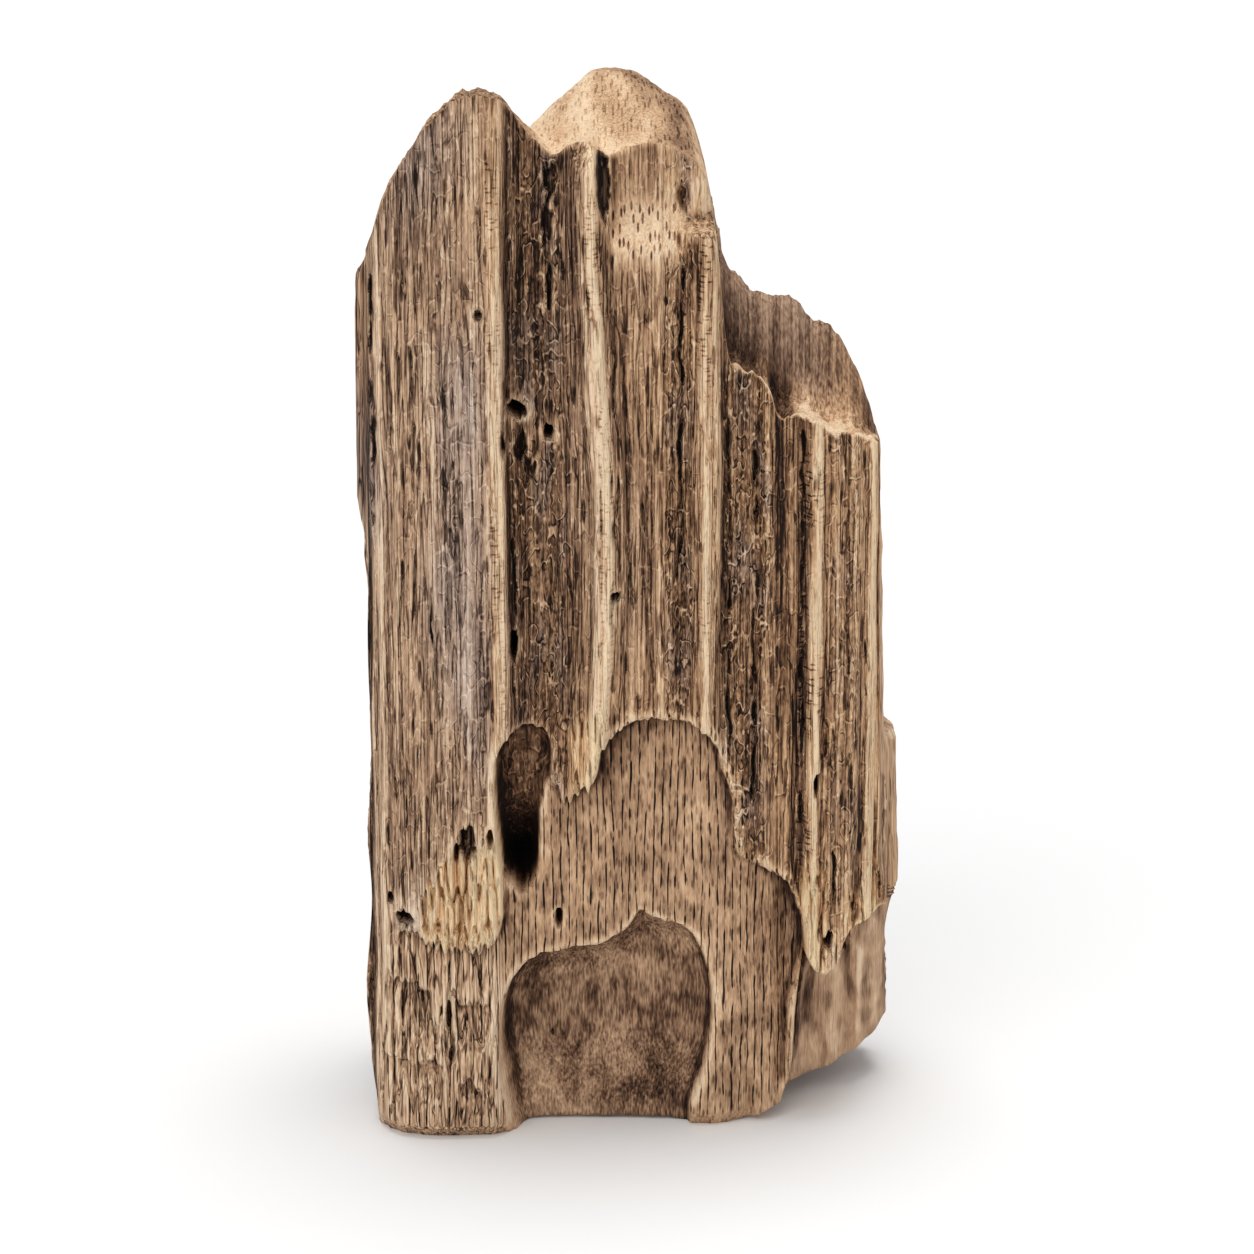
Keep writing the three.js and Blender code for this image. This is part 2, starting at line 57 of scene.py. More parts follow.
# The block itself, in millimetres: x to the right, z up the grain, depth back from the foremost plane
driftwood = {
    "height": 220,
    "width": 115,
    "depth": 72,
    "columns": 360,
    "rows": 190,
    "layers": 52,
    "frontRows": [[0, 0], [0.5, 0.42], [1, 1]],  # share of the rows, share of the height
    "depthLayers": [[0, 0], [0.25, 0.15], [0.7, 0.45], [1, 1]],
    "levelShare": 0.42,  # the row that stays level, as a share of the height
    "triangles": 195000,
    "across": (-61, 61),  # what the sheets of relief cover, and their steps
    "upward": (-8, 228),
    "through": (-2, 76),
    "frontStep": (0.25, 0.4),
    "sideStep": (0.4, 0.6),
    "crownStep": (0.3, 0.3),
    "zoneEdge": 1.4,  # how far one kind of surface passes into the next
    "wearAndShadeSpreads": (0.7, 1.5, 3.4),  # fine cracks, worn rims and broad grooves
    "reliefFade": {"face": 6, "side": 40, "crownStart": 0.9, "crownRise": 10},
    # ridges and grooves across the front: x, depth
    "flutes": [
        [-55, 14], [-53.5, 9], [-51.5, 5], [-48, 2.4], [-43.5, 1], [-38.5, 0.6], [-33, 0], [-29, 0.5],
        [-27, 1.4], [-25.2, 6], [-23, 9], [-18.5, 10], [-15, 8.4], [-11.5, 6], [-8.5, 2.7], [-6.5, 2.2],
        [-5, 4.6], [-1.5, 7.2], [3, 7.4], [5, 6.5], [7, 7.5], [10, 8.8], [12.6, 6.2], [14.5, 4.2], [16.2, 5.4],
        [18.6, 9.8], [22, 11.4], [24.5, 12.4], [27.5, 10.2], [32, 10.6], [35, 12.2], [36.4, 9.6], [37.6, 8.4],
        [39.5, 10.5], [44.5, 12.6], [48.5, 17], [53, 27],
    ],
    "sway": {"reach": 0.3, "length": 150},
    "middleLean": [[88, 0], [118, -1.1], [140, -0.9], [168, 0.4], [200, 1.8]],  # how far the middle ridge wanders left
    "ledge": {
        "left": -6, "right": 12, "foot": [[9, 186], [11.5, 190.6]], "head": [[9, 197.5], [11.5, 193.6]],
        "setback": 6.8, "corner": 9,
    },
    "crownFront": [
        [-57, 182], [-53.8, 188], [-50.2, 199.6], [-46, 206.4], [-42, 212.7], [-37, 218.2], [-31.3, 220],
        [-26.9, 218.3], [-23.5, 214.5], [-20.5, 209.5], [-16.5, 206.5], [-12.5, 209.8], [-9.5, 209.4], [-7, 207],
        [-4, 206.4], [-1, 207.6], [3, 208.4], [7, 207.6], [11, 205.6], [13.8, 203], [15.6, 196], [17, 187],
        [17.9, 176], [18.8, 165], [21, 162.2], [26.4, 161], [27.8, 158], [29, 153.2], [31, 152.6], [33, 153.9],
        [36, 152.4], [40, 150], [49, 147], [55, 139],
    ],
    "crownBack": [
        [-57, 179], [-50, 186], [-40, 194], [-30, 201], [-21.5, 208], [-15.4, 213.7], [-9.2, 219.1],
        [-5, 220], [1.2, 218.5], [6.4, 214.7], [11.1, 211.7], [13.8, 204], [16, 194.6], [17.2, 186],
        [18.4, 181.4], [20.6, 180.6], [22.4, 177.8], [25, 175.2], [33.4, 174.2], [35.8, 170.9], [42, 168],
        [45.2, 161.7], [49.3, 151], [51.5, 143], [57, 134],
    ],
    "crownRise": {"slab": [13, 29], "tall": [15, 42], "step": [24, 30.5], "slabEnd": [-27, -18], "tallEnd": [15, 19]},
    "crownFall": {"start": 48, "drop": 9, "stepSlope": 0.3},
    "crownPits": [  # x, depth, reach across, reach through, drop
        [25, 20.5, 5, 3.4, 4.2], [31, 19, 3.4, 3.6, 2.6], [-36, 50, 9, 8, 5],
    ],
    "leftSide": [
        [0, -54.2], [14, -55.6], [28, -56.6], [50, -55.2], [62, -55.8], [80, -54.9], [105, -55.3], [122, -54.9],
        [200, -54.2],
    ],
    "leftStrip": {"foot": [112, 138], "head": [180, 187], "depth": [14, 20], "out": -2.6},
    "rightSide": [
        [0, 54.6], [16, 55.2], [38, 54.6], [60, 53.6], [86, 52.9], [118, 52.4], [140, 51.6], [200, 50.5],
    ],
    "rightSlab": {"foot": [30, 48], "head": [77, 80], "depth": [34, 44], "out": 3.25},
    "sideGrooves": [
        [20, 0], [26, 1.4], [31, 0.2], [37, 1.8], [43, 0], [50, 0.4], [56, 2.2], [62, 0.6], [72, 0],
    ],
    "back": [
        [-57, 56], [-52, 63.5], [-45, 69.5], [-38, 71], [-33, 67.4], [-28, 70.6], [-22, 72], [-17, 70.4],
        [-14.6, 63], [-12, 70], [-5, 71.4], [1, 67.8], [6, 70.6], [14, 71.4], [20, 68], [26, 70.4], [34, 71],
        [39, 66.6], [44, 67], [50, 61], [57, 54],
    ],
    "split": {"place": -14.6, "depth": 6},  # where the split down the back closes up
    "backLean": {"start": 140, "inward": 6},
    "backHollows": [  # outline, bowl, inward
        [[[9, 16], [12, 46], [20, 72], [31, 78], [38, 60], [40, 30], [34, 8], [18, 4]], 13, 8],
        [[[-46, 96], [-44, 128], [-37, 150], [-29, 140], [-27, 112], [-33, 88], [-41, 84]], 9, 6],
        [[[0, 176], [4, 206], [12, 226], [24, 226], [17, 186], [9, 160]], 9, 6],
    ],
    "innerFace": [
        [-49.5, 46], [-47.5, 46.5], [-44.5, 44.5], [-38.5, 42.4], [-31, 43], [-28.5, 46], [-28, 54.5], [-28.3, 81],
        [-24.5, 87.5], [-20.5, 88], [-17.5, 85.5], [-16.8, 75.5], [-14.5, 73], [-11, 74], [-9, 78.5], [-7, 84],
        [-2, 88.5], [3.5, 90], [9.5, 89.5], [14.5, 87.5], [17.5, 84], [19, 78], [21, 72], [21.5, 64.5],
        [22.5, 59.5], [27.5, 57], [32.5, 53.5], [35, 47.5], [36.3, 42.5], [36, 36], [33.5, 26.5], [33, 12.5],
        [31, -8], [-49.5, -8],
    ],
    "innerDepth": [
        [-50, 4.6], [-40, 4.4], [-30, 5], [-26, 8], [-20, 10.4], [-10, 12], [5, 13], [18, 12.8], [22, 13.6],
        [28, 15.6], [33, 19], [38, 22],
    ],
    "innerRim": 1.5,
    "innerFoot": {"height": 45, "forward": 3.6},
    "innerHead": {"foot": 60, "head": 90, "inward": 1.6},
    "jag": [  # how ragged the broken ends of the flutes are: x, millimetres
        [-50, 1], [-44, 1.8], [-29, 1.6], [-26, 0.4], [-18, 0.6], [-15, 2.4], [-8, 2.4], [-5, 0.5], [17, 0.5],
        [21, 0.4], [33, 0.4], [37, 1.4],
    ],
    "arch": {
        "outline": [
            [-29, 15], [-28, 28.5], [-25, 34.5], [-21, 37.5], [-13.5, 39], [-7, 40], [-2, 43], [1, 47], [4.5, 45.5],
            [11.5, 43], [15, 37.5], [17, 27.5], [15.5, 14], [12.5, 5.5], [10.5, -6], [-22, -6],
        ],
        "rim": 1.1, "flare": 3, "edge": 12, "bowl": 12, "bed": [14, 21], "bedAt": [0, 20],
    },
    "bay": {
        "outline": [
            [36, 42], [37, 36], [40, 33], [42.5, 34.5], [44.5, 40.5], [48.5, 43], [60, 44], [62, -8], [31, -8],
            [33, 12.5], [34, 28],
        ],
        "rim": 1.4, "edge": 20, "bowl": 6, "bed": [[32, 26], [40, 30], [48, 36], [57, 47]],
    },
    "pocket": {
        "outline": [
            [-28.2, 84], [-24.5, 87.5], [-20.5, 88], [-17.6, 85.5], [-17.3, 78], [-19.2, 71], [-19.6, 63],
            [-20.6, 55], [-23.4, 51.8], [-26.4, 54.6], [-28, 60.5],
        ],
        "rim": 0.6, "edge": 11.5, "bowl": 3.2, "bed": [14, 27], "bedAt": [74, 52],
    },
    "steps": [  # ragged breaks in the left foot, sharp above and fading downwards: upper edge, depth, fade
        [[[-52.2, 33.4], [-49, 34.2], [-45.5, 33], [-42, 32]], 2, 15],
        [[[-38, 29], [-35.5, 29.9], [-32.5, 28.8], [-29.6, 30]], 1.6, 11],
        [[[-53.4, 16.5], [-49, 17.6], [-45, 16.3], [-41.5, 17.8], [-39.6, 15.4]], 1.9, 10],
        [[[-37.6, 11.4], [-35, 12.8], [-31.6, 11.2]], 1.9, 8],
    ],
    "footLift": [[20, 0], [25, 0.7], [30, 3.2], [34, 4.6], [40, 5.4], [46, 7], [51, 9.6], [57.5, 14.5]],
    "archLift": {"left": [-25, -19], "right": [6, 11], "depth": [34, 22], "height": 0.7},
    "holes": [  # x, z, half width, half height, depth, lean, raggedness
        [-24, 155, 1.85, 1.15, 16, -0.3, 0.05], [-17.5, 150, 0.95, 0.95, 12, 0, 0.05],
        [-4, 116.5, 0.8, 0.8, 10, 0, 0.05], [-31.5, 175.5, 0.8, 0.7, 3, 0, 0.5], [37.9, 75, 0.5, 2.4, 5, 0, 0.6],
        [-24.9, 106, 0.7, 2.8, 8, 0, 0.6], [-34.6, 65, 1.7, 3.3, 5, 0, 0.9], [-36.9, 62.8, 0.6, 1.8, 4, 0, 0.7],
        [-29.9, 65.8, 0.6, 1.8, 5, 0, 0.6], [-47.8, 48.2, 1.6, 1.2, 8, -0.2, 0.4], [-50.8, 51.9, 0.6, 0.8, 5, 0, 0.4],
        [-15.8, 45.6, 0.6, 1.8, 5, 0, 0.6], [-38.8, 26.6, 0.55, 2.8, 4, 0, 0.6], [40.8, 40.4, 0.9, 1.6, 6, 0, 1.1],
        [-17.4, 17, 0.4, 0.5, 1.5, 0, 0.3], [-23.4, 147.5, 1.2, 2.6, 2.2, 0.1, 1.2], [-21.6, 142.5, 1.2, 2, 2, 0, 1.2],
        [-17, 202, 1.5, 3.6, 2.6, 0.05, 1.4], [10, 197.4, 1.3, 2.4, 2.2, 0, 1.2], [-17.6, 193, 1.2, 3, 1.8, 0, 1.5],
        [-6.4, 201.6, 1.3, 7.6, 4.5, -0.06, 0.5],
    ],
    "clefts": [  # cracks along the grain: points of x and z, half width, depth
        [[[-26.2, 161], [-26.6, 150], [-26.2, 139]], 0.3, 4],
        [[[-17.9, 190], [-17, 183], [-17.6, 175], [-16.8, 170]], 0.4, 2.4],
        [[[9, 190], [9.9, 180], [9.1, 170], [9.8, 158], [9.2, 146], [9.6, 132], [9, 118]], 0.34, 2],
        [[[41.4, 60], [42, 52], [41.5, 43]], 0.24, 2],
        [[[19.6, 158], [19.2, 140], [19.8, 120], [19.3, 100], [19.9, 82]], 0.3, 2],
        [[[24.6, 150], [25, 132], [24.4, 112], [25.1, 92], [24.6, 70]], 0.34, 2],
        [[[34.6, 150], [34.9, 130], [34.5, 110], [35, 88], [34.6, 66]], 0.28, 1.6],
        [[[-4.6, 186], [-4.2, 160], [-4.7, 140], [-4.3, 122], [-4.6, 98]], 0.24, 1.6],
        [[[-45.2, 170], [-44.8, 150], [-45.3, 128]], 0.24, 1.4],
        [[[-53.3, 180], [-53.7, 164], [-53.2, 148], [-53.6, 132]], 0.44, 2],
        [[[-41.5, 120], [-41.2, 100], [-41.7, 84]], 0.2, 1.2],
        [[[-37.9, 31], [-37.6, 24], [-38.2, 18]], 0.3, 2],
        [[[-48, 34], [-48.4, 24], [-48, 14]], 0.26, 1.6],
        [[[-44.3, 33], [-44, 24]], 0.24, 1.4],
        [[[-24.9, 130], [-24.6, 112], [-25.1, 96]], 0.26, 2],
    ],
    # where the wood is rotten and crumbly across the fluted front: x, share
    "rot": [
        [-42, 0], [-40, 0.25], [-31, 0.25], [-29, 0], [-25.6, 0], [-24.4, 0.9], [-15.5, 1], [-13.6, 0.15], [-9.5, 0],
        [5.6, 0], [6.8, 1], [11.2, 1], [12.4, 0], [17.6, 0.1], [18.8, 1], [27.4, 1], [28.6, 0.1], [33.6, 0.1],
        [34.4, 0.5], [36, 0.3], [36.8, 0], [39.5, 0.1], [41, 0.6], [45.5, 0.6], [47.5, 0.1],
    ],
    # shade of the wood across the fluted front, from 0 for cream to 1 for black: x, shade
    "bands": [
        [-56, 0.62], [-53.6, 0.5], [-51, 0.36], [-47, 0.27], [-43.5, 0.36], [-41.5, 0.24], [-38, 0.31], [-34, 0.35],
        [-32.4, 0.23], [-30.6, 0.31], [-29.6, 0.14], [-28.4, 0.05], [-27.3, 0.1], [-26.6, 0.44], [-24.5, 0.56],
        [-20, 0.54], [-15, 0.54], [-13, 0.46], [-10.6, 0.46], [-10, 0.34], [-9.2, 0.12], [-7.2, -0.14], [-5.6, -0.14],
        [-4.9, 0.24], [-4.2, 0.44], [-2, 0.34], [1, 0.28], [4, 0.37], [6.5, 0.4], [9, 0.44], [11.4, 0.44],
        [12.4, 0.38], [13.2, 0.25], [14.2, 0.18], [15, 0.25], [16, 0.3], [17.4, 0.3], [18.8, 0.48], [22, 0.5],
        [27, 0.51], [28.4, 0.54], [32, 0.54], [34.4, 0.56], [35.8, 0.46], [36.6, 0.24], [37.2, -0.05], [37.8, -0.05],
        [38.4, 0.24], [39.6, 0.38], [44, 0.42], [47, 0.38], [48.6, 0.2], [50.5, 0.06], [53, 0.12],
    ],
    "freshTop": [[-46, 50], [-42, 57], [-38, 62], [-28, 67]],  # upper edge of the broken golden end of the slab
    "crests": [-28.3, -6.9, 14.3, 35.2, 37.5],  # ridges with fine cross marks
    "warmth": [  # how golden the wood is across the front: x, share
        [-30, 0], [-28.4, 0.45], [-26.8, 0], [-8.6, 0], [-6.8, 0.4], [-4.8, 0.1], [28, 0.1], [31, 0.3], [34, 0.1],
        [37.5, 0.3], [46, 0.15], [49, 0.5],
    ],
    "shades": {  # of the other surfaces, from 0 for cream to 1 for black
        "ledge": -0.16, "aboveLedge": 0.06, "innerFace": 0.25, "arch": 0.46, "leftFoot": 0.11, "bay": 0.14,
        "pocket": 0.48, "floorEdge": 0.2, "back": 0.38, "rightSide": 0.26, "paintedLightLeftCorner": 0.04, "leftSide": 0.54,
        "slabTop": 0.4, "tallTop": -0.2, "stepTop": 0.36, "underside": 0.55,
    },
}


def smooth(low, high, value):
    share = np.clip((value - low) / (high - low), 0, 1)
    return share * share * (3 - 2 * share)


def span(value, riseStart, riseEnd, fallStart, fallEnd):  # up over the first two, down over the last two
    return smooth(riseStart, riseEnd, value) * smooth(fallEnd, fallStart, value)


def mix(first, second, share):
    return first + (second - first) * share


def profile(points, place):  # level at each point
    at, value = np.array(points, float).T
    after = np.clip(np.searchsorted(at, place, "right"), 1, len(at) - 1)
    before = after - 1
    return mix(value[before], value[after], smooth(at[before], at[after], place))


def polyline(points, place, soften=0):  # straight runs, with corners rounded over the distance given
    at, value = np.array(points, float).T
    if not soften:
        return np.interp(place, at, value)
    return sum(np.interp(place + step, at, value) for step in (-soften, 0, soften)) / 3


def dice(i, j, seed):  # a fixed random number from 0 to 1 for each whole-number place
    mixed = (i * 374761393 + j * 668265263 + seed * 1442695041) % 2**32
    mixed = ((mixed ^ (mixed >> 13)) * 1274126177) % 2**32
    return ((mixed ^ (mixed >> 16)) % 2**16) / (2**16 - 1)


def noise(a, b, seed):  # gradient noise, about -1 to 1
    i, j = np.floor(a).astype(np.int64), np.floor(b).astype(np.int64)
    u, v = a - i, b - j

    def corner(stepA, stepB):
        turn = 2 * np.pi * dice(i + stepA, j + stepB, seed)
        return np.cos(turn) * (u - stepA) + np.sin(turn) * (v - stepB)

    easeA = u * u * u * (u * (u * 6 - 15) + 10)
    easeB = v * v * v * (v * (v * 6 - 15) + 10)
    low = mix(corner(0, 0), corner(1, 0), easeA)
    high = mix(corner(0, 1), corner(1, 1), easeA)
    return 1.5 * mix(low, high, easeB)


def fractal(a, b, seed, octaves=3):
    total, size, reach = 0, 1.0, 1.0
    for octave in range(octaves):
        total = total + reach * noise(a * size, b * size, seed + octave)
        size, reach = size * 2.1, reach * 0.5
    return total


def roundedOutline(points, steps=6):  # a closed curve through the points
    corners = np.array(points, float)
    made = []
    for k in range(len(corners)):
        before, start, end, after = (corners[(k + n) % len(corners)] for n in (-1, 0, 1, 2))
        u, v, w = (math.sqrt(np.linalg.norm(q - p)) for p, q in ((before, start), (start, end), (end, after)))
        leave = ((start - before) / u - (end - before) / (u + v) + (end - start) / v) * v
        reach = ((end - start) / v - (after - start) / (v + w) + (after - end) / w) * v
        for t in np.arange(steps) / steps:
            made.append(
                (2 * t**3 - 3 * t**2 + 1) * start + (t**3 - 2 * t**2 + t) * leave
                + (3 * t**2 - 2 * t**3) * end + (t**3 - t**2) * reach
            )
    return np.array(made)


def distanceInside(points, x, z, reach=10):  # how far a place lies inside an outline, negative outside
    outline = roundedOutline(points)
    low, high = outline.min(0) - reach, outline.max(0) + reach
    near = (x > low[0]) & (x < high[0]) & (z > low[1]) & (z < high[1])
    px, pz = x[near], z[near]
    nearest = np.full(px.shape, np.inf)
    within = np.zeros(px.shape, bool)
    for start, end in zip(outline, np.roll(outline, -1, 0)):
        dx, dz = end - start
        share = np.clip(((px - start[0]) * dx + (pz - start[1]) * dz) / (dx * dx + dz * dz), 0, 1)
        nearest = np.minimum(nearest, (px - start[0] - share * dx) ** 2 + (pz - start[1] - share * dz) ** 2)
        if dz != 0:
            crosses = ((start[1] > pz) != (end[1] > pz)) & (px < start[0] + (pz - start[1]) / dz * dx)
            within ^= crosses
    found = np.full(x.shape, -float(reach))
    found[near] = np.where(within, 1, -1) * np.sqrt(nearest)
    return found


def bowlShare(inside, bowl):
    toBed = 1 - np.clip(inside / bowl, 0, 1)
    return np.sqrt(1 - toBed * toBed)


def blur(values, spread, step):
    for axis in (0, 1):
        sigma = spread / step[axis]
        half = int(3 * sigma) + 1
        taps = np.exp(-0.5 * (np.arange(-half, half + 1) / sigma) ** 2)
        taps /= taps.sum()
        padded = np.pad(values, [(half, half) if k == axis else (0, 0) for k in (0, 1)], mode="edge")
        count = values.shape[axis]
        values = sum(tap * np.take(padded, np.arange(k, k + count), axis) for k, tap in enumerate(taps))
    return values


# A sheet holds one face's form, relief, wear and painted shade on a fine grid
def newSheet(firstRange, secondRange, step):
    first = np.arange(firstRange[0], firstRange[1] + step[0], step[0])
    second = np.arange(secondRange[0], secondRange[1] + step[1], step[1])
    a, b = np.meshgrid(first, second, indexing="ij")
    return {"start": (first[0], second[0]), "step": step, "a": a, "b": b}


def lookUp(sheet, layer, a, b):
    values = sheet[layer]
    place = [(p - s) / d for p, s, d in zip((a, b), sheet["start"], sheet["step"])]
    i, j = (np.clip(p, 0, n - 1.001) for p, n in zip(place, values.shape))
    i0, j0 = i.astype(int), j.astype(int)
    u, v = i - i0, j - j0
    low = mix(values[i0, j0], values[i0 + 1, j0], u)
    high = mix(values[i0, j0 + 1], values[i0 + 1, j0 + 1], u)
    return mix(low, high, v)


# Worn rims and small edges come out paler; cracks and grooves get painted shade, darker the deeper they lie
def wearAndCreaseShade(sheet, depth):  # what stands out and what lies deep, with inwards as positive
    fine, rim, broad = (depth - blur(depth, spread, sheet["step"]) for spread in driftwood["wearAndShadeSpreads"])
    rimWear = smooth(0.15, 0.9, -rim)
    groove = smooth(0.3, 3.2, broad)
    crack = smooth(0.12, 0.6, fine)
    edge = smooth(0.1, 0.45, -fine)
    # painted shade in cracks and grooves, wear on rims and edges
    return 0.16 * groove - 0.3 * rimWear + 0.34 * crack - 0.16 * edge


def grainRelief(a, z, seed):  # fine ribs and drying cracks along the grain
    wander = a + 0.5 * noise(a / 6, z / 40, seed)
    ribs = 0.24 * fractal(wander / 0.95, z / 30, seed + 1) + 0.36 * fractal(wander / 2.5, z / 70, seed + 5, 2)
    ribs += 0.22 * fractal(wander / 1.1, z / 6, seed + 10, 2)
    line = np.abs(noise(wander / 2.0, z / 50, seed + 8))
    gate = smooth(-0.1, 0.25, noise(a / 5, z / 16, seed + 9))
    cracks = smooth(0.16, 0.0, line) * gate
    return ribs, cracks


def crumbs(a, b, seed):  # curled chips of rotten wood
    bendA = a / 1.5 + 0.8 * noise(a / 2.4, b / 3.2, seed)
    bendB = b / 2.6 + 0.8 * noise(a / 2.2, b / 3.0, seed + 1)
    return 1 - 2.4 * np.abs(noise(bendA, bendB, seed + 2)) + 0.5 * noise(a / 0.8, b / 1.2, seed + 3)


def distanceTo(points, x, z):  # how far a place lies from a line through points
    nearest = np.full(x.shape, np.inf)
    for start, end in zip(np.array(points[:-1], float), np.array(points[1:], float)):
        dx, dz = end - start
        share = np.clip(((x - start[0]) * dx + (z - start[1]) * dz) / (dx * dx + dz * dz), 0, 1)
        beyond = (z - start[1] - share * dz) * 0.3  # the ends run out slowly along the grain
        nearest = np.minimum(nearest, np.hypot(x - start[0] - share * dx, beyond))
    return nearest


def frontSheet():
    d = driftwood
    sheet = newSheet(d["across"], d["upward"], d["frontStep"])
    x, z = sheet["a"], sheet["b"]

    def rough(across, upward, seed):
        return noise(x / across, z / upward, seed)

    along = x + d["sway"]["reach"] * np.sin(2 * np.pi * z / d["sway"]["length"])
    along = along + 0.3 * rough(14, 70, 11) + 0.42 * rough(3, 25, 12)
    along += profile(d["middleLean"], z) * span(x, -16, -12, -3, 0)
    ledge = d["ledge"]
    setback = ledge["setback"] + ledge["corner"] * smooth(ledge["right"], ledge["right"] + 6, x)
    foot, head = profile(ledge["foot"], x), profile(ledge["head"], x)
    behind = smooth(ledge["left"], ledge["left"] + 2, x) * smooth(foot, head, z)
    form = profile(d["flutes"], along) + setback * behind
    form += 3.5 * smooth(203, 210, z) * span(x, -14, -11, -6, -4)  # rounded head of the middle ridge

    # the flutes break off above the inner face
    jag = profile(d["jag"], x) * (rough(0.8, 30, 13) + 0.6 * rough(2.6, 30, 16))
    inside = distanceInside(d["innerFace"], x, z + jag)
    forward = d["innerFoot"]["forward"] * smooth(d["innerFoot"]["height"], 0, z)
    inward = d["innerHead"]["inward"] * smooth(d["innerHead"]["foot"], d["innerHead"]["head"], z)
    inner = profile(d["innerDepth"], x) - forward + inward
    form = mix(form, np.maximum(form, inner), smooth(0, d["innerRim"], inside))

    # hollows worn into it
    within = {}
    for name in ("bay", "arch", "pocket"):
        hollow = d[name]
        uneven = 0.9 if name == "pocket" else 0.35
        within[name] = distanceInside(hollow["outline"], x, z + uneven * rough(1.8, 4, 14))
        if name == "bay":
            bed = profile(hollow["bed"], x)
        else:
            bed = mix(hollow["bed"][0], hollow["bed"][1], smooth(*hollow["bedAt"], z))
        floor = mix(hollow["edge"], bed, bowlShare(within[name], hollow["bowl"]))
        # the rim is softer at the arch's left foot and at the right corner
        rim = hollow["rim"] + hollow.get("flare", 0) * smooth(40, 8, z) * smooth(-8, -20, x) + 3 * smooth(46, 52, x)
        form = mix(form, np.maximum(form, floor), smooth(0, rim, within[name]))
    zoneEdge = d["zoneEdge"]
    stepped = np.zeros_like(x)
    for edge, stepDepth, fade in d["steps"]:
        start, end = edge[0][0], edge[-1][0]
        below = polyline(edge, x) - z + 1.1 * rough(1.3, 20, 15) + 0.6 * rough(0.6, 20, 17)
        worn = smooth(0, 0.7, below) * np.clip(1 - below / fade, 0, 1)
        worn = worn * span(x, start, start + zoneEdge, end - zoneEdge, end)
        stepped = np.maximum(stepped, worn)
        form += stepDepth * worn

    # kinds of surface
    arch, bay, pocket = (smooth(0, zoneEdge, within[name]) for name in ("arch", "bay", "pocket"))
    hollowed = np.maximum(np.maximum(arch, bay), pocket)
    brokenOff = smooth(0, zoneEdge, inside)
    innerZone = brokenOff * (1 - hollowed)
    fluted = (1 - brokenOff) * (1 - hollowed)
    leftFoot = innerZone * smooth(-26.5, -29, x)
    rings = innerZone * (1 - leftFoot)
    fresh = freshEnds(x, z, fluted)
    form += 0.9 * fresh * smooth(-24, -27, x)
    sheet["form"] = form

    # relief of each kind of surface
    ribs, cracks = grainRelief(along, z, 20)
    rot = profile(d["rot"], along) * np.clip(0.75 + 0.6 * rough(5, 12, 30), 0, 1) * fluted
    rot = rot * (1 - fresh)
    relief = fluted * (ribs + 0.9 * cracks * (1 - rot)) * (1 - 0.4 * rot)
    relief -= 0.45 * rot * crumbs(x, z, 40)
    strands = 0.9 * fractal(x / 0.9, z / 20, 50) + 2.2 * smooth(0.15, 0, np.abs(rough(1.6, 18, 54)))
    splinters = smooth(49, 44, z) * smooth(-26, -28, x) * crumbs(x, 0.6 * z, 57)
    row = smooth(1.2, 0.3, np.abs(z - 46.4 + 1.2 * rough(2.5, 30, 58))) * smooth(-26, -28, x)
    row = row * smooth(-0.1, 0.2, rough(1.3, 9, 59))
    relief += fresh * (strands - 0.9 * splinters + 1.6 * row)
    relief += rings * (0.1 * fractal(x / 1.2, z / 3, 60) + 0.3 * rough(5, 9, 64))
    footLines = smooth(0.16, 0.0, np.abs(noise(along / 1.8, z / 22, 65)))
    worn = smooth(2, 6, z)
    relief += leftFoot * worn * (0.4 * fractal(x / 1.2, z / 14, 66) + 1.1 * footLines)
    relief += arch * (0.12 * fractal(x / 1.3, z / 5, 70) + 0.5 * rough(8, 11, 74))
    waves = rough(3.8, 26, 75) + 0.3 * rough(1.7, 18, 78)
    relief += bay * (1.1 * waves + 0.06 * fractal(x / 1.2, z / 8, 76))
    relief += pocket * 0.6 * fractal(x / 2, z / 3, 80)
    relief += (1.6 + 1.2 * leftFoot) * smooth(4.2, 0, z) ** 2 * (1 - arch)  # worn round at the floor
    # painted shade: the pocket's lower part is painted black, as the shade deep inside it
    black = pocket * smooth(65, 55, z + 3 * rough(3, 5, 82)) * smooth(0.4, 2.4, within["pocket"])
    for hx, hz, halfWidth, halfHeight, holeDepth, lean, ragged in d["holes"]:
        tall = halfHeight > halfWidth
        shift = x - hx - (lean * (z - hz) if tall else 0)
        rise = z - hz - (0 if tall else lean * (x - hx))
        away = (shift / halfWidth) ** 2 + (rise / halfHeight) ** 2 + ragged * rough(0.7, 1.6, 85)
        mouth = smooth(1.35, 0.75, away)
        # painted shade: each hole's mouth is painted dark, darker for deeper holes
        black = np.maximum(black, mouth * min(1, holeDepth / 5) * max(0.3, 1 - 0.6 * ragged))
        relief += holeDepth * mouth
    for points, halfWidth, cleftDepth in d["clefts"]:
        width = halfWidth * np.clip(1 + 1.3 * rough(1.5, 5, 88), 0.05, 2)
        away = distanceTo(points, x + 0.5 * rough(2, 6, 89), z) / width
        opened = smooth(1.4, 0.5, away) * smooth(-0.25, 0.1, rough(9, 8, 87))
        # painted shade: the opened cracks are painted dark inside
        black = np.maximum(black, 0.45 * opened)
        relief += cleftDepth * opened
    sheet["relief"] = relief

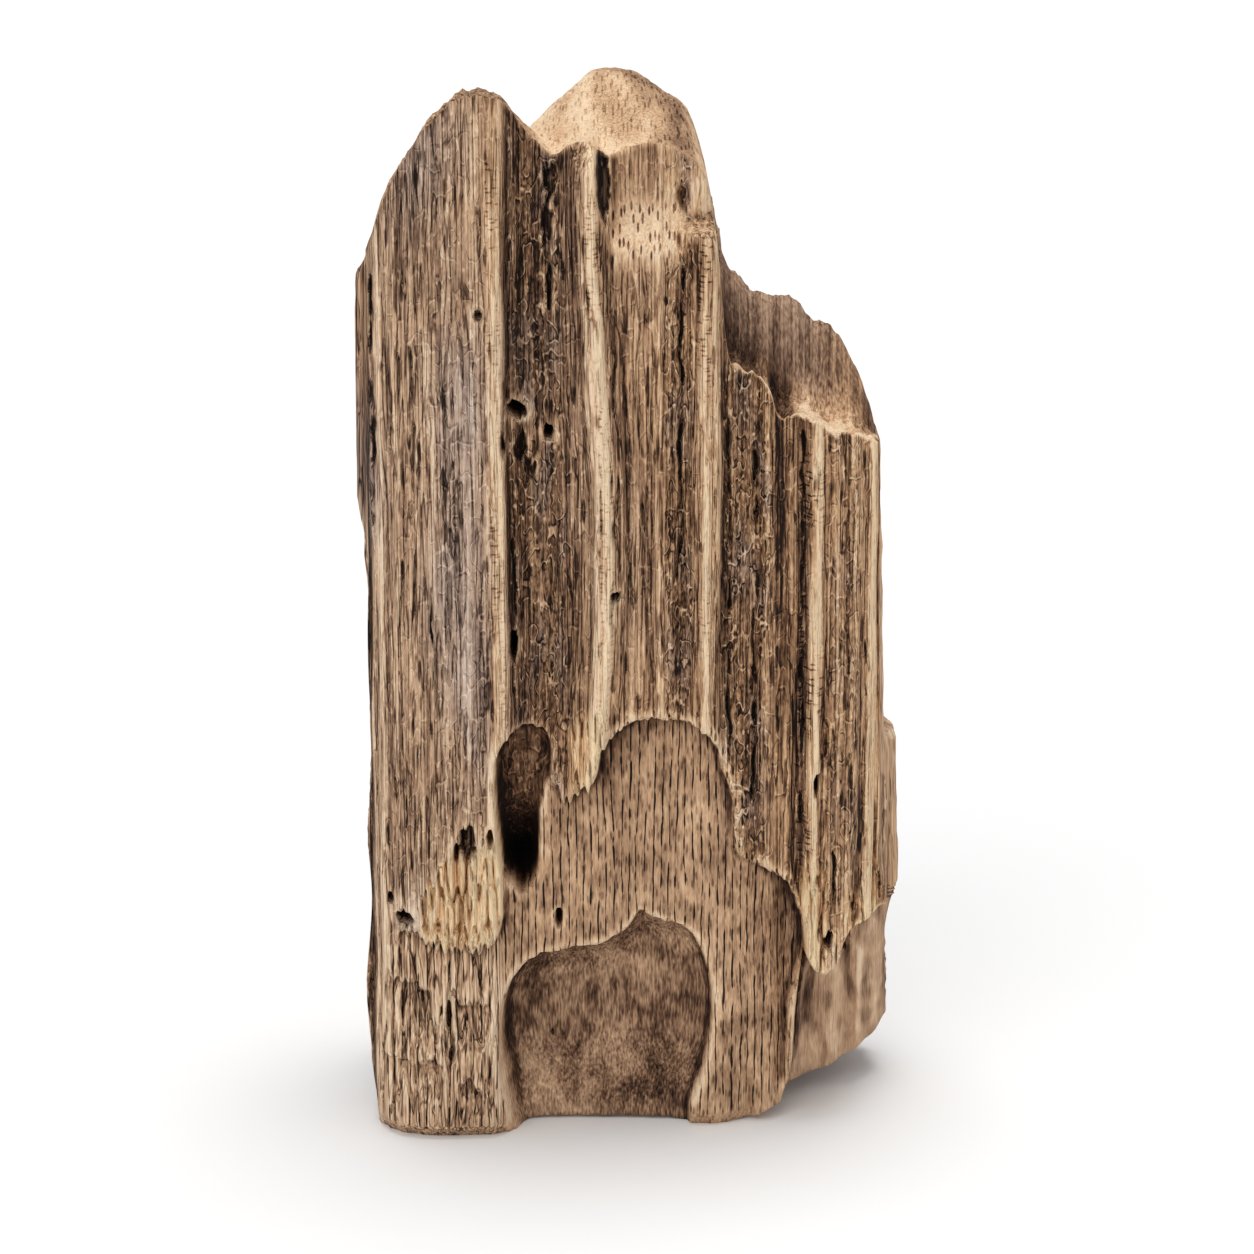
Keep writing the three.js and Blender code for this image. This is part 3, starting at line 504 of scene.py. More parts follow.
    # shade from cream to black
    shades = d["shades"]
    slope = smooth(foot - 5 - 3 * rough(1.5, 30, 94), foot + 3, z) * smooth(head + 1.5, head - 3, z)
    slope = slope * smooth(ledge["left"], ledge["left"] + 2, x) * smooth(13, 9, x + 0.8 * rough(2, 4, 90))
    column = span(x, -14, -12, -9.4, -7.6) * smooth(150, 190, z)
    streaks = 0.14 * fractal(along / 3.4, z / 90, 91, 2)
    crest = sum(smooth(1.8, 0.9, np.abs(along - place)) for place in d["crests"])
    uneven = 0.2 * noise(along / 2.4, z / 20, 102) + 0.14 * noise(along / 0.8, z / 9, 103)
    shade = profile(d["bands"], along) + 0.1 * column + streaks * (1 - slope) + crest * uneven
    shade -= 0.26 * smooth(-50, -53, x) * smooth(142, 122, z)  # pale left corner
    # the ridges darken towards their heads
    shade += 0.2 * span(along, -7.4, -5.8, -4.8, -3.6) * smooth(150, 185, z)
    shade += 0.18 * span(x, -12, -10, -7, -5) * smooth(182, 202, z)
    shade += 0.1 * span(x, -31, -29, -27.4, -26) * smooth(182, 204, z)
    shade -= 0.06 * smooth(-26, -30, x) * smooth(190, 206, z)
    aboveLedge = shades["aboveLedge"] + 0.18 * smooth(196, 205, z) + streaks
    shade = mix(shade, aboveLedge, behind * smooth(14.5, 11, x))
    shade = mix(shade, shades["ledge"], slope)
    shade += 0.34 * span(x, 10.5, 12, 15.5, 17) * smooth(170, 184, z) * (1 - behind)
    rimBand = span(inside, -3.2, -0.8, 0.2, 0.9) * smooth(-8, -5, x) * fluted * (1 - fresh)
    shade -= 0.24 * rimBand
    shade -= fresh * mix(0.3, 0.06, smooth(0, 20, x))
    mottle = 0.14 * fractal(x / 8, z / 9, 93) + 0.12 * fractal(x / 2.4, z / 4, 97)
    archShade = shades["arch"] + 1.5 * mottle + 0.2 * smooth(-8, 12, x) * smooth(26, 6, z)
    archShade -= 0.2 * smooth(22, 6, z) * smooth(-12, -20, x)
    innerShade = shades["innerFace"] + 1.3 * mottle + 0.16 * smooth(16, 19, x) * span(z, 62, 68, 73, 77)
    innerShade += 0.14 * smooth(22, 27, x) * span(z, 30, 44, 52, 60)
    # painted shade: the left foot is a little darker just below each ragged step's edge
    footShade = shades["leftFoot"] + 0.6 * mottle + 0.1 * stepped
    footShade -= 0.12 * smooth(-41, -38, x) * span(z, 29, 31, 35, 38)
    bayShade = shades["bay"] + 0.17 * waves + 1.2 * mottle + 0.32 * smooth(0.05, 0.3, rough(3, 12, 79))
    shade = fluted * shade + rings * innerShade + leftFoot * footShade + arch * archShade + bay * bayShade
    # painted shade: the pocket gets darker towards its deep lower end
    shade += pocket * (shades["pocket"] + 0.34 * smooth(84, 62, z))
    lip = span(within["pocket"], -2.8, -0.6, 0, 0.8)
    shade += 0.24 * lip * smooth(-27.4, -26, x) * smooth(72, 62, z)
    lowEdge = smooth(4.5, 1.5, z - footHeight(x, form)) * (1 - 0.7 * arch)
    sheet["shade"] = mix(shade + wearAndCreaseShade(sheet, form + relief), shades["floorEdge"] + 0.5 * mottle, 0.75 * lowEdge)
    streak = fluted * (1 - 0.3 * rot) * (1 - 0.8 * slope) * (1 - 0.4 * behind) * (1 - 0.15 * crest)
    sheet["streak"] = streak + leftFoot + 0.14 * rings - 0.2 * fresh + 0.1 * arch + 0.12 * bay + 0.3 * pocket
    sheet["black"] = black
    sheet["rot"] = (rot + 0.34 * fluted * (1 - rot)) * (1 - slope) + 0.4 * pocket
    sheet["nap"] = 0.46 * rings + 0.85 * arch + 0.4 * bay + 0.35 * leftFoot + 0.2 * slope + 0.5 * pocket + 0.35 * fluted
    sheet["fresh"] = np.maximum(fresh, fluted * profile(d["warmth"], along))
    sheet["rings"] = (rings + 0.9 * leftFoot) * (1 - lowEdge)
    sheet["pits"] = np.maximum(np.maximum(slope, rimBand), 0.3 * rings)
    patches = smooth(-0.3, 0.35, rough(20, 50, 99))
    grey = fluted * np.maximum(smooth(-26, -34, x), 0.2 * smooth(8, 2, x)) * mix(0.2, 0.8, patches)
    tint = rough(4, 16, 104)  # some rotten patches turn grey and others red
    grey += 0.5 * rot * smooth(0.05, 0.4, tint)
    sheet["grey"] = grey + 0.2 * bay + 0.15 * leftFoot + 0.08 * rings + 0.15 * arch
    sheet["fresh"] += 0.3 * rot * smooth(-0.05, -0.4, tint)
    sheet["crest"] = crest * fluted * (1 - slope) * (1 - fresh) * smooth(-0.3, 0.2, rough(9, 22, 101))
    return sheet


def freshEnds(x, z, fluted):  # broken ends where the inside of the wood still shows golden
    ragged = z + 3.5 * noise(x / 1.4, z / 25, 33)
    slab = span(x, -46, -43, -27.6, -26.2) * smooth(1.0, -1.0, ragged - profile(driftwood["freshTop"], x))
    tip = span(x, -14.5, -12.5, -6.8, -5.6) * smooth(92, 88, ragged)
    rightEnd = span(x, 33.5, 35, 39.5, 41) * smooth(62, 56, ragged)
    bayEdge = smooth(43.5, 45.5, x) * smooth(53, 49, ragged)
    return fluted * np.clip(slab + tip + rightEnd + bayEdge, 0, 1)


def backSheet():
    d = driftwood
    sheet = newSheet(d["across"], d["upward"], d["sideStep"])
    x, z = sheet["a"], sheet["b"]
    sway = d["sway"]["reach"] * np.cos(2 * np.pi * z / d["sway"]["length"])
    along = x + 2 * sway + 0.6 * noise(x / 14, z / 70, 111) + 2.2 * noise(x / 60, z / 45, 112)
    closed = 1 - smooth(0, 0.4, noise(x / 80, z / 42, 113) + 0.25)
    nearSplit = smooth(2.6, 0.4, np.abs(along - d["split"]["place"]))
    form = profile(d["back"], along) + d["split"]["depth"] * nearSplit * closed
    form = np.minimum(form, d["depth"]) - d["backLean"]["inward"] * smooth(d["backLean"]["start"], d["height"], z)
    hollowed = np.zeros_like(x)
    for outline, bowl, inward in d["backHollows"]:
        ragged = 3 * noise(x / 2.4, z / 12, 114) + 1.6 * noise(x / 1.0, z / 6, 115)
        share = bowlShare(distanceInside(outline, x + 1.8 * noise(x / 6, z / 14, 116), z + ragged), 1.3 * bowl)
        form -= inward * smooth(0, 1, share)
        hollowed = np.maximum(hollowed, smooth(0.2, 0.8, share))
    ribs, cracks = grainRelief(along, z, 120)
    rot = smooth(0.1, 0.5, noise(x / 9, z / 45, 130)) * (1 - hollowed)
    relief = (ribs + 0.9 * cracks) * (1 - 0.7 * hollowed)
    relief -= 0.5 * rot * crumbs(x, z, 140)
    sheet["form"], sheet["relief"] = form, -relief
    shade = d["shades"]["back"] + 0.16 * rot + 0.1 * hollowed + 0.2 * noise(x / 6, z / 80, 133)
    sheet["shade"] = shade + 1.3 * wearAndCreaseShade(sheet, relief - form)
    sheet["rot"], sheet["streak"], sheet["rings"] = rot, 1 - 0.6 * hollowed, hollowed
    sheet["grey"] = smooth(-0.2, 0.4, noise(x / 20, z / 60, 150))
    return sheet


def sideSheet(sign, seed):  # sign -1 is the left side, 1 the right side
    d = driftwood
    sheet = newSheet(d["through"], d["upward"], d["sideStep"])
    depth, z = sheet["a"], sheet["b"]
    outline, slab = (d["leftSide"], d["leftStrip"]) if sign < 0 else (d["rightSide"], d["rightSlab"])
    ragged = z + (2.6 if sign < 0 else 0.5) * fractal(depth / 3, z / 60, seed + 17, 2)
    out = span(ragged, *slab["foot"], *slab["head"]) * smooth(*slab["depth"], depth)
    form = profile(outline, z) + slab["out"] * out - sign * profile(d["sideGrooves"], depth)
    ribs, cracks = grainRelief(depth, z, seed)
    rot = smooth(0.15, 0.5, noise(depth / 8, z / 40, seed + 12))
    relief = ribs + 0.8 * cracks - 0.4 * rot * crumbs(depth, z, seed + 14)
    sheet["form"], sheet["relief"] = form, -sign * relief
    rot = rot * smooth(40, 52, depth) if sign > 0 else rot
    shades = d["shades"]
    # painted light: the left side near the front and low down, and the right side, are painted paler than the wood, as
    # though lit where the lamps leave them in shade
    pastCorner = np.maximum(np.maximum(out, smooth(122, 142, z)), smooth(16, 30, depth))
    shade = shades["rightSide"] if sign > 0 else mix(shades["paintedLightLeftCorner"], shades["leftSide"], pastCorner)
    shade = shade + 0.14 * rot + 0.2 * noise(depth / 6, z / 80, seed + 13)
    sheet["shade"] = shade + 1.3 * wearAndCreaseShade(sheet, relief - sign * form)
    sheet["rot"], sheet["streak"] = rot, np.full_like(rot, 1 if sign < 0 else 0.6)
    sheet["grey"] = (0.7 if sign < 0 else 0.2) * smooth(-0.3, 0.4, noise(depth / 20, z / 60, seed + 16))
    return sheet


def crownSheet():
    d = driftwood
    sheet = newSheet(d["across"], d["through"], d["crownStep"])
    x, depth = sheet["a"], sheet["b"]
    rise = d["crownRise"]
    pastSlab, pastTall = smooth(*rise["slabEnd"], x), smooth(*rise["tallEnd"], x)
    start, end = (mix(mix(rise["slab"][k], rise["tall"][k], pastSlab), rise["step"][k], pastTall) for k in (0, 1))
    climb = smooth(start, end, depth)
    form = mix(polyline(d["crownFront"], x, 0.7), polyline(d["crownBack"], x, 1.2), climb)
    pitted = np.zeros_like(x)
    for px, pd, across, through, drop in d["crownPits"]:
        dent = np.exp(-(((x - px) / across) ** 2) - ((depth - pd) / through) ** 2)
        form -= drop * dent
        pitted = np.maximum(pitted, dent)
    fall = d["crownFall"]
    form -= (1 - pastTall) * fall["drop"] * smooth(fall["start"], d["depth"], depth)
    form -= smooth(17.5, 20, x) * fall["stepSlope"] * np.clip(depth - rise["step"][1], 0, None)
    tall = pastSlab * (1 - pastTall)
    wall = pastTall * 4 * climb * (1 - climb)
    relief = mix(0.3, 0.1, tall) * fractal(x / 1.6, depth / 5, 210) + 0.35 * noise(x / 6, depth / 9, 215)
    relief += wall * 0.5 * fractal(x / 1.4, depth / 40, 218)
    relief += (1 - 0.6 * tall) * (0.7 * noise(x / 1.3, depth / 4, 224) + 0.9 * noise(x / 3.6, depth / 9, 225))
    sheet["form"], sheet["relief"] = form, relief
    rim = smooth(4.5, 1.5, depth - profile(d["flutes"], x))
    fibres = span(x, 31, 35, 42, 50) * smooth(27.6, 25, depth)
    wallFoot = span(climb, 0.0, 0.08, 0.1, 0.34) * smooth(35, 29, x)
    wallFace = pastTall * smooth(0.05, 0.3, climb) * smooth(38, 32, depth)
    shades = d["shades"]
    # painted shade: wallFoot and pitted darken the hollow at the foot of the step's wall and the pits, where shade lies
    stepShade = shades["stepTop"] + 0.2 * wallFoot + mix(0.12, 0.2, smooth(30, 40, x)) * wallFace
    stepShade = stepShade - 0.55 * rim - 0.58 * fibres + 0.34 * pitted
    tallShade = shades["tallTop"] + 0.5 * smooth(-12, 13, x + 0.4 * (depth - 24))
    tallShade += 0.3 * fractal(x / 6, depth / 12, 220)
    shade = mix(mix(shades["slabTop"], tallShade, pastSlab), stepShade, pastTall)
    sheet["shade"] = shade + 0.8 * (1 - 0.6 * wallFace) * wearAndCreaseShade(sheet, -form - relief)
    sheet["streak"] = (0.35 + 0.4 * (1 - pastSlab)) * (1 - 0.5 * wallFace)
    sheet["face"], sheet["grey"] = 0.75 * wallFace, 0.4 * wallFace * smooth(46, 36, x)
    sheet["endPits"] = tall + 0.3 * pastTall
    sheet["nap"] = 0.3 * tall + 0.8 * fibres + 0.5 * wallFace
    sheet["rot"] = 0.35 * (1 - pastSlab) + 0.3 * pastTall * (1 - wallFace)
    return sheet


def footHeight(x, depth):
    lift = driftwood["archLift"]
    across = span(x, *lift["left"], *lift["right"])
    return profile(driftwood["footLift"], x) + lift["height"] * across * smooth(*lift["depth"], depth)


def boxGrid(columns, layers, rows):  # whole-number places on a box's skin, and the faces between them
    index = np.full((columns + 1, layers + 1, rows + 1), -1, np.int64)
    skin = np.zeros(index.shape, bool)
    for axis in range(3):
        skin[tuple(slice(None) if k != axis else [0, -1] for k in range(3))] = True
    places = np.argwhere(skin)
    index[skin] = np.arange(len(places))

    def quads(sheet, flip):
        corners = [sheet[:-1, :-1], sheet[1:, :-1], sheet[1:, 1:], sheet[:-1, 1:]]
        return np.stack([c.ravel() for c in (corners[::-1] if flip else corners)], 1)

    faces = [
        quads(index[:, 0, :], False), quads(index[:, -1, :], True),
        quads(index[0], True), quads(index[-1], False),
        quads(index[:, :, 0], True), quads(index[:, :, -1], False),
    ]
    return places, np.concatenate(faces)


# what each place of the surface tells the finish
marks = ("shade", "streak", "rot", "nap", "fresh", "rings", "pits", "endPits", "crest", "face", "grey", "black")


def shapeWood(sheets):
    d = driftwood
    counts = np.array([d["columns"], d["layers"], d["rows"]])
    places, faces = boxGrid(*counts)
    across = places[:, 0] / counts[0]
    through = polyline(d["depthLayers"], places[:, 1] / counts[1])
    rise = polyline(d["frontRows"], places[:, 2] / counts[2])
    level, levelTop = d["levelShare"], d["levelShare"] * d["height"]
    x, depth, z = (across - 0.5) * d["width"], through * d["depth"], rise * d["height"]
    for turn in range(5):  # sides, depth and height depend on each other, so they settle in turns
        lower = mix(footHeight(x, depth), levelTop, rise / level)
        upper = mix(levelTop, lookUp(sheets["crown"], "form", x, depth), (rise - level) / (1 - level))
        z = np.where(rise <= level, lower, upper)
        depth = mix(lookUp(sheets["front"], "form", x, z), lookUp(sheets["back"], "form", x, z), through)
        x = mix(lookUp(sheets["left"], "form", depth, z), lookUp(sheets["right"], "form", depth, z), across)

    # which face each place lies on, and where that face's sheet is read
    onFace = {
        "front": (places[:, 1] == 0, x, z), "back": (places[:, 1] == counts[1], x, z),
        "left": (places[:, 0] == 0, depth, z), "right": (places[:, 0] == counts[0], depth, z),
        "crown": (places[:, 2] == counts[2], x, depth),
    }
    totals = {name: np.zeros(len(places)) for name in marks}
    shared = np.zeros(len(places))
    for face, (member, a, b) in onFace.items():
        shared[member] += 1
        for name in marks:
            if name in sheets[face]:
                totals[name][member] += lookUp(sheets[face], name, a[member], b[member])
    layers = {name: total / np.maximum(shared, 1) for name, total in totals.items()}
    layers["shade"][shared == 0] = d["shades"]["underside"]

    # the relief fades over the neighbouring faces
    fade = d["reliefFade"]
    moved = depth + (1 - through) ** fade["face"] * lookUp(sheets["front"], "relief", x, z)
    moved += through ** fade["face"] * lookUp(sheets["back"], "relief", x, z)
    sideFade = span(through, 0, 0.05, 0.95, 1)
    sideways = (1 - across) ** fade["side"] * lookUp(sheets["left"], "relief", depth, z)
    sideways += across ** fade["side"] * lookUp(sheets["right"], "relief", depth, z)
    lift = np.clip(rise - fade["crownStart"], 0, 1) * fade["crownRise"] * lookUp(sheets["crown"], "relief", x, depth)
    points = np.stack([x + sideFade * sideways, moved - d["depth"] / 2, z + lift], 1)
    print("wood: surface laid out,", len(points), "places")
    return points, faces, layers, places[:, 1] == 0


def keepInBox(points):  # in metres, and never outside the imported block
    low, high = np.array(cadLow) / mm, np.array(cadHigh) / mm
    return (np.clip(points, low, high) * mm).astype(np.float32).ravel()


def addToScene(name, data):
    made = bpy.data.objects.new(name, data)
    bpy.context.scene.collection.objects.link(made)
    return made


def makeDriftwood():
    sheets = {
        "front": frontSheet(), "back": backSheet(), "crown": crownSheet(),
        "left": sideSheet(-1, 300), "right": sideSheet(1, 340),
    }
    print("wood: relief of five faces worked out")
    points, faces, layers, onFront = shapeWood(sheets)
    mesh = bpy.data.meshes.new("driftwood_weathered")
    mesh.vertices.add(len(points))
    mesh.vertices.foreach_set("co", keepInBox(points))
    mesh.loops.add(faces.size)
    mesh.loops.foreach_set("vertex_index", faces.astype(np.int32).ravel())
    mesh.polygons.add(len(faces))
    mesh.polygons.foreach_set("loop_start", np.arange(0, faces.size, 4, dtype=np.int32))
    mesh.update(calc_edges=True)
    mesh.validate()
    for name, values in layers.items():
        mesh.attributes.new(name, "FLOAT", "POINT").data.foreach_set("value", values.astype(np.float32))
    piece = addToScene("driftwood_weathered", mesh)

    # the front keeps every face, and the other sides give up what they don't need
    group = piece.vertex_groups.new(name="spare")
    group.add(np.flatnonzero(~onFront).tolist(), 1.0, "REPLACE")
    thin = piece.modifiers.new("thin", "DECIMATE")
    thin.ratio = driftwood["triangles"] / (2 * len(faces))
    thin.vertex_group = "spare"
    bpy.context.view_layer.objects.active = piece
    piece.select_set(True)
    bpy.ops.object.modifier_apply(modifier="thin")
    piece.vertex_groups.clear()
    thinned = np.empty(3 * len(mesh.vertices), np.float32)
    mesh.vertices.foreach_get("co", thinned)
    mesh.vertices.foreach_set("co", keepInBox(thinned.reshape(-1, 3) / mm))
    mesh.update()
    mesh.shade_smooth()
    mesh.calc_loop_triangles()
    print("wood: mesh made,", len(mesh.loop_triangles), "triangles")
    return piece


# Finish of the wood. Colours are as seen on a screen, 0 to 255, one for each stop of the shade, up to 1 for the darkest
woodFinish = {
    "stops": (-0.25, 0, 0.2, 0.4, 0.6, 0.8, 1),
    "brown": [
        (248, 219, 183), (226, 187, 148), (199, 160, 124), (164, 128, 98), (118, 86, 63), (75, 51, 37), (32, 21, 15),
    ],
    "grey": [
        (232, 214, 199), (211, 189, 172), (187, 163, 147), (156, 133, 120), (110, 91, 81), (68, 57, 50), (30, 25, 22),
    ],
    "golden": [
        (253, 225, 183), (241, 202, 157), (219, 174, 129), (190, 144, 102), (143, 103, 71), (88, 62, 43), (36, 24, 16),
    ],
    # painted shade, laid over the pocket's depth, the holes and the cracks
    "black": (9, 6, 5),
    "darkens": {  # how much each mark adds to the shade, or takes off it
        "wide": 0.5, "middle": 0.6, "fine": 1.3, "cracks": 0.42, "slits": 0.5, "speck": 0.8, "curlCrest": -0.56,
        "curlShadow": 0.36, "grains": -0.45, "rings": 0.8, "pits": 0.75, "endPits": 0.3, "ticks": 0.42, "nap": 1.3,
    },
    "standsOut": {"fine": 0.8, "nap": -1.0, "speck": 1.6, "curlCrest": 0.7},
    "shadeShift": -0.015,
    "roughness": 0.88,
    "shine": 0.2,
    "bumpDepth": 0.6,
    "ringSpacing": 1.65,
}


def fromScreen(colour):
    share = [c / 255 for c in colour]
    return (*[c / 12.92 if c <= 0.04045 else ((c + 0.055) / 1.055) ** 2.4 for c in share], 1.0)


def woodMaterial():
    f = woodFinish
    material = bpy.data.materials.new("weathered_driftwood")
    material.use_nodes = True
    tree = material.node_tree
    tree.nodes.clear()

    def node(kind, inputs=None, **settings):
        made = tree.nodes.new("ShaderNode" + kind)
        for name, value in settings.items():
            setattr(made, name, value)
        for name, value in (inputs or {}).items():
            if isinstance(value, bpy.types.NodeSocket):
                tree.links.new(value, made.inputs[name])
            else:
                made.inputs[name].default_value = value
        return made

    place = node("TexCoord").outputs["Object"]

    def maths(operation, first, second=0.0):
        return node("Math", {0: first, 1: second}, operation=operation).outputs[0]

    def times(first, second):
        return maths("MULTIPLY", first, second)

    def total(*values):
        result = values[0]
        for value in values[1:]:
            result = maths("ADD", result, value)
        return result

    def weighed(weights, **parts):  # every part times its own weight, added up
        return total(*[times(value, weights[name]) for name, value in parts.items()])

    def ramp(value, low, high, start=0.0, end=1.0):  # a soft step
        inputs = {"Value": value, "From Min": low, "From Max": high, "To Min": start, "To Max": end}
        return node("MapRange", inputs, interpolation_type="SMOOTHSTEP").outputs["Result"]

    def shades(value, colours):
        palest = f["stops"][0]
        share = node("MapRange", {"Value": value, "From Min": palest, "From Max": 1.0})
        made = node("ValToRGB", {0: share.outputs["Result"]})
        elements = made.color_ramp.elements
        for k, (at, colour) in enumerate(zip(f["stops"], colours)):
            position = (at - palest) / (1 - palest)
            element = elements[k] if k < 2 else elements.new(position)
            element.position, element.color = position, fromScreen(colour)
        return made.outputs[0]

    def blend(share, first, second):
        return node("Mix", {0: share, 6: first, 7: second}, data_type="RGBA").outputs[2]

    def stretched(across, along, shift, through=None):  # coordinates drawn out along the grain, in millimetres
        scale = (1000 / across, 1000 / (through or across), 1000 / along)
        inputs = {"Vector": place, "Location": (shift, shift * 1.7, shift * 2.3), "Scale": scale}
        return node("Mapping", inputs).outputs[0]

    def grain(across, along, shift, detail=1.0, through=None):  # around zero
        inputs = {"Vector": stretched(across, along, shift, through), "Scale": 1.0, "Detail": detail, "Roughness": 0.55}
        return maths("SUBTRACT", node("TexNoise", inputs).outputs["Fac"], 0.5)

    def lines(across, along, shift, width):  # thin lines along the grain
        return ramp(maths("ABSOLUTE", grain(across, along, shift, 0.0)), width, width * 0.25)

    def spots(vector, size, **settings):
        inputs = {"Vector": vector, "Scale": 1.0, "Randomness": 1.0}
        return ramp(node("TexVoronoi", inputs, **settings).outputs["Distance"], size, size * 0.6)

    def dashes(first, second, across, along, size):  # short pits
        flat = node("CombineXYZ", {0: times(first, 1000 / across), 1: times(second, 1000 / along)})
        return spots(flat.outputs[0], size, voronoi_dimensions="2D")

    def flecks(across, along, shift, size):  # small long bodies, cut open wherever the surface meets one
        return spots(stretched(across, along, shift), size)

    def mark(name):
        return node("Attribute", attribute_name=name).outputs["Fac"]

    def ringLines():  # growth rings that have opened into fine broken cracks
        sway = total(times(grain(9, 40, 2.2), 0.0026), times(grain(1.6, 7, 6.1), 0.0008))
        phase = times(maths("ADD", axes[0], sway), 1000 / f["ringSpacing"])
        ring = maths("FLOOR", phase)
        offset = maths("ABSOLUTE", maths("SUBTRACT", maths("FRACT", phase), 0.5))
        spot = node("CombineXYZ", {0: times(ring, 7.31), 2: times(axes[2], 230.0)}).outputs[0]
        broken = node("TexNoise", {"Vector": spot, "Scale": 1.0, "Detail": 2.0}).outputs["Fac"]
        width = ramp(broken, 0.38, 0.56, 0.005, 0.11)
        return ramp(maths("DIVIDE", offset, width), 1.0, 0.6)

    axes = node("SeparateXYZ", {0: place}).outputs
    middle, fine, speck = grain(1.1, 60, 7.7), grain(0.42, 30, 1.3), grain(0.8, 1.4, 9.2)
    wide, nap = grain(3.0, 38, 5.9), times(grain(0.45, 2.4, 3.3), mark("nap"))
    streak, rot, rings = mark("streak"), mark("rot"), mark("rings")
    wallLines = total(times(grain(0.6, 40, 2.4, through=40), 1.1), times(grain(2.4, 60, 3.1, through=60), 0.16))
    broken = grain(2.8, 10, 4.7)
    cracks = times(lines(1.3, 60, 8.3, 0.05), ramp(broken, -0.08, 0.06))
    checks = times(lines(0.9, 16, 2.9, 0.075), ramp(broken, 0.06, -0.06))
    curl = grain(1.8, 3.4, 5.2, 0.0)
    loose = ramp(grain(1.7, 2.2, 6.4, 0.0), -0.09, 0.0)  # only here and there, so that the curls stay open
    curlCrest = times(ramp(maths("ABSOLUTE", curl), 0.048, 0.016), loose)
    curlShadow = times(ramp(maths("ABSOLUTE", maths("SUBTRACT", curl, 0.075)), 0.05, 0.015), loose)
    pits = times(dashes(axes[0], axes[2], 1.15, 4.4, 0.26), mark("pits"))
    endPits = times(dashes(axes[0], axes[1], 1.0, 5.6, 0.27), mark("endPits"))
    grains = flecks(2.0, 2.8, 3.7, 0.19)
    slits = flecks(2.6, 15.0, 7.1, 0.2)
    ticks = times(dashes(axes[0], axes[2], 2.6, 0.9, 0.3), mark("crest"))
    ringCracks = times(ringLines(), rings)

    # every part of the finish adds to one shade, from cream to black
    dark = f["darkens"]
    streaks = weighed(dark, wide=wide, middle=middle, fine=fine, cracks=total(cracks, checks), slits=slits)
    crumbs = weighed(dark, speck=speck, curlCrest=curlCrest, curlShadow=curlShadow, grains=grains)
    openings = weighed(dark, rings=ringCracks, pits=pits, endPits=endPits, ticks=ticks, nap=nap)
    openings = total(openings, times(wallLines, mark("face")))
    shade = total(mark("shade"), times(streaks, streak), times(crumbs, rot), openings, f["shadeShift"])
    colour = shades(shade, f["brown"])
    colour = blend(mark("grey"), colour, shades(shade, f["grey"]))
    colour = blend(mark("fresh"), colour, shades(shade, f["golden"]))
    # painted shade: black where the pocket, holes and cracks lie deep
    colour = blend(mark("black"), colour, fromScreen(f["black"]))

    height = weighed(f["standsOut"], fine=fine, nap=nap, speck=times(speck, rot), curlCrest=times(curlCrest, rot))
    sunk = total(times(times(total(cracks, checks, slits), streak), 0.6), ringCracks)
    height = maths("SUBTRACT", height, times(sunk, 0.8))
    bump = node("Bump", {"Height": height, "Strength": 1.0, "Distance": f["bumpDepth"] * mm}).outputs[0]
    inputs = {"Base Color": colour, "Normal": bump, "Roughness": f["roughness"], "Specular IOR Level": f["shine"]}
    shader = node("BsdfPrincipled", inputs)
    output = node("OutputMaterial")
    tree.links.new(shader.outputs[0], output.inputs["Surface"])
    return material


piece = makeDriftwood()
piece.data.materials.append(woodMaterial())
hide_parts("driftwood")
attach(piece, "root")
print("wood: finished")

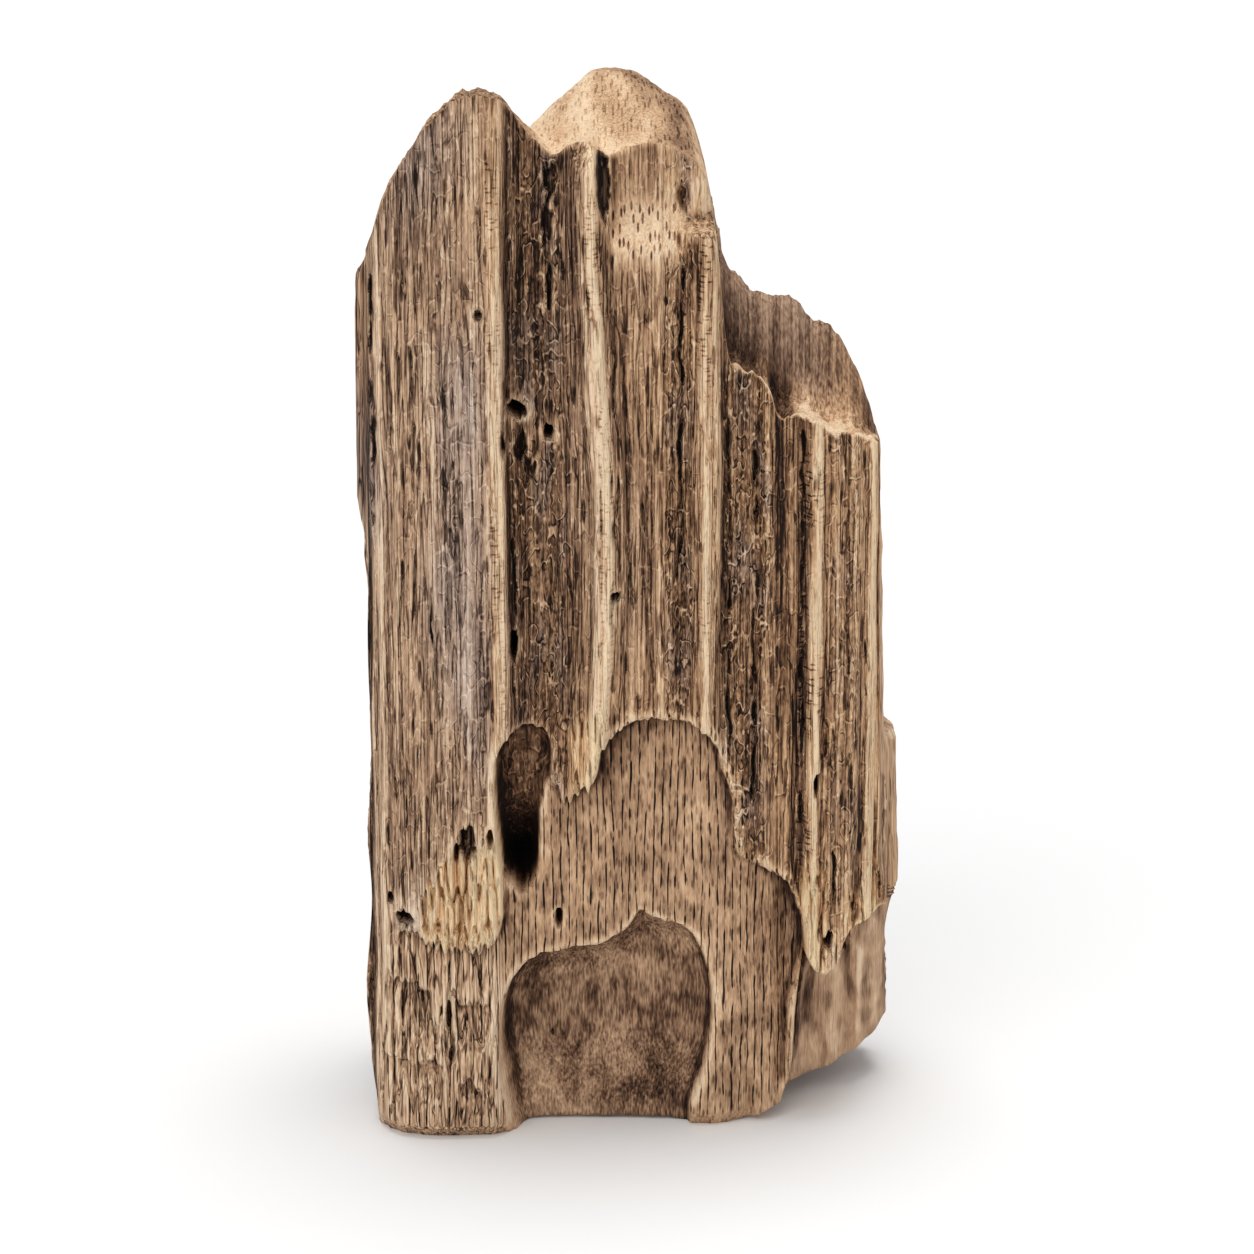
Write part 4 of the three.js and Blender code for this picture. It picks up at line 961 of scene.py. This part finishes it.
# Studio: a pale floor, a soft light and the camera
studio = {
    "floorSize": 60.0,
    "floorColour": (0.9, 0.9, 0.9, 1.0),
    "floorRoughness": 0.9,
    "floorGlow": 0.02,
    "sky": 0.46,
    "lights": [  # where it shines from, spread in degrees, strength
        ((0.02, 0.14, 1.2), 30.0, 1.7),
        ((-0.36, -0.85, 0.75), 42.0, 0.8),
    ],
    "aim": (-0.0015, -0.036, 0.11138),
    "elevation": 14.0,
    "distance": 0.9,
    "metresPerPixel": 0.000204,
    "imagePixels": 1254,
    "sensorMm": 36.0,
}


def makeFloor():
    half = studio["floorSize"] / 2
    mesh = bpy.data.meshes.new("studio_floor")
    corners = [(-half, -half, 0), (half, -half, 0), (half, half, 0), (-half, half, 0)]
    mesh.from_pydata(corners, [], [(0, 1, 2, 3)])
    floor = addToScene("studio_floor", mesh)
    material = bpy.data.materials.new("pale_floor")
    material.use_nodes = True
    inputs = material.node_tree.nodes["Principled BSDF"].inputs
    inputs["Base Color"].default_value = studio["floorColour"]
    inputs["Roughness"].default_value = studio["floorRoughness"]
    inputs["Emission Color"].default_value = (1, 1, 1, 1)
    inputs["Emission Strength"].default_value = studio["floorGlow"]
    mesh.materials.append(material)


def makeLights():
    for number, (place, spread, strength) in enumerate(studio["lights"]):
        lamp = bpy.data.lights.new(f"soft_light_{number}", "SUN")
        lamp.energy, lamp.angle = strength, math.radians(spread)
        holder = addToScene(lamp.name, lamp)
        holder.location = place
        holder.rotation_euler = (-Vector(place)).to_track_quat("-Z", "Y").to_euler()
    world = bpy.data.worlds.new("pale_room")
    world.use_nodes = True
    inputs = world.node_tree.nodes["Background"].inputs
    inputs["Color"].default_value = (1, 1, 1, 1)
    inputs["Strength"].default_value = studio["sky"]
    bpy.context.scene.world = world


def makeCamera():
    tilt = math.radians(studio["elevation"])
    aim = Vector(studio["aim"])
    back = Vector((0, -math.cos(tilt), math.sin(tilt)))
    lens = bpy.data.cameras.new("photo_camera")
    lens.sensor_width = studio["sensorMm"]
    lens.lens = studio["sensorMm"] * studio["distance"] / (studio["imagePixels"] * studio["metresPerPixel"])
    camera = addToScene("photo_camera", lens)
    camera.location = aim + back * studio["distance"]
    camera.rotation_euler = (-back).to_track_quat("-Z", "Y").to_euler()
    bpy.context.scene.camera = camera


makeFloor()
makeLights()
makeCamera()
bpy.context.scene.view_settings.view_transform = "Standard"
bpy.context.scene.view_settings.look = "None"
print("studio: floor, light and camera set")
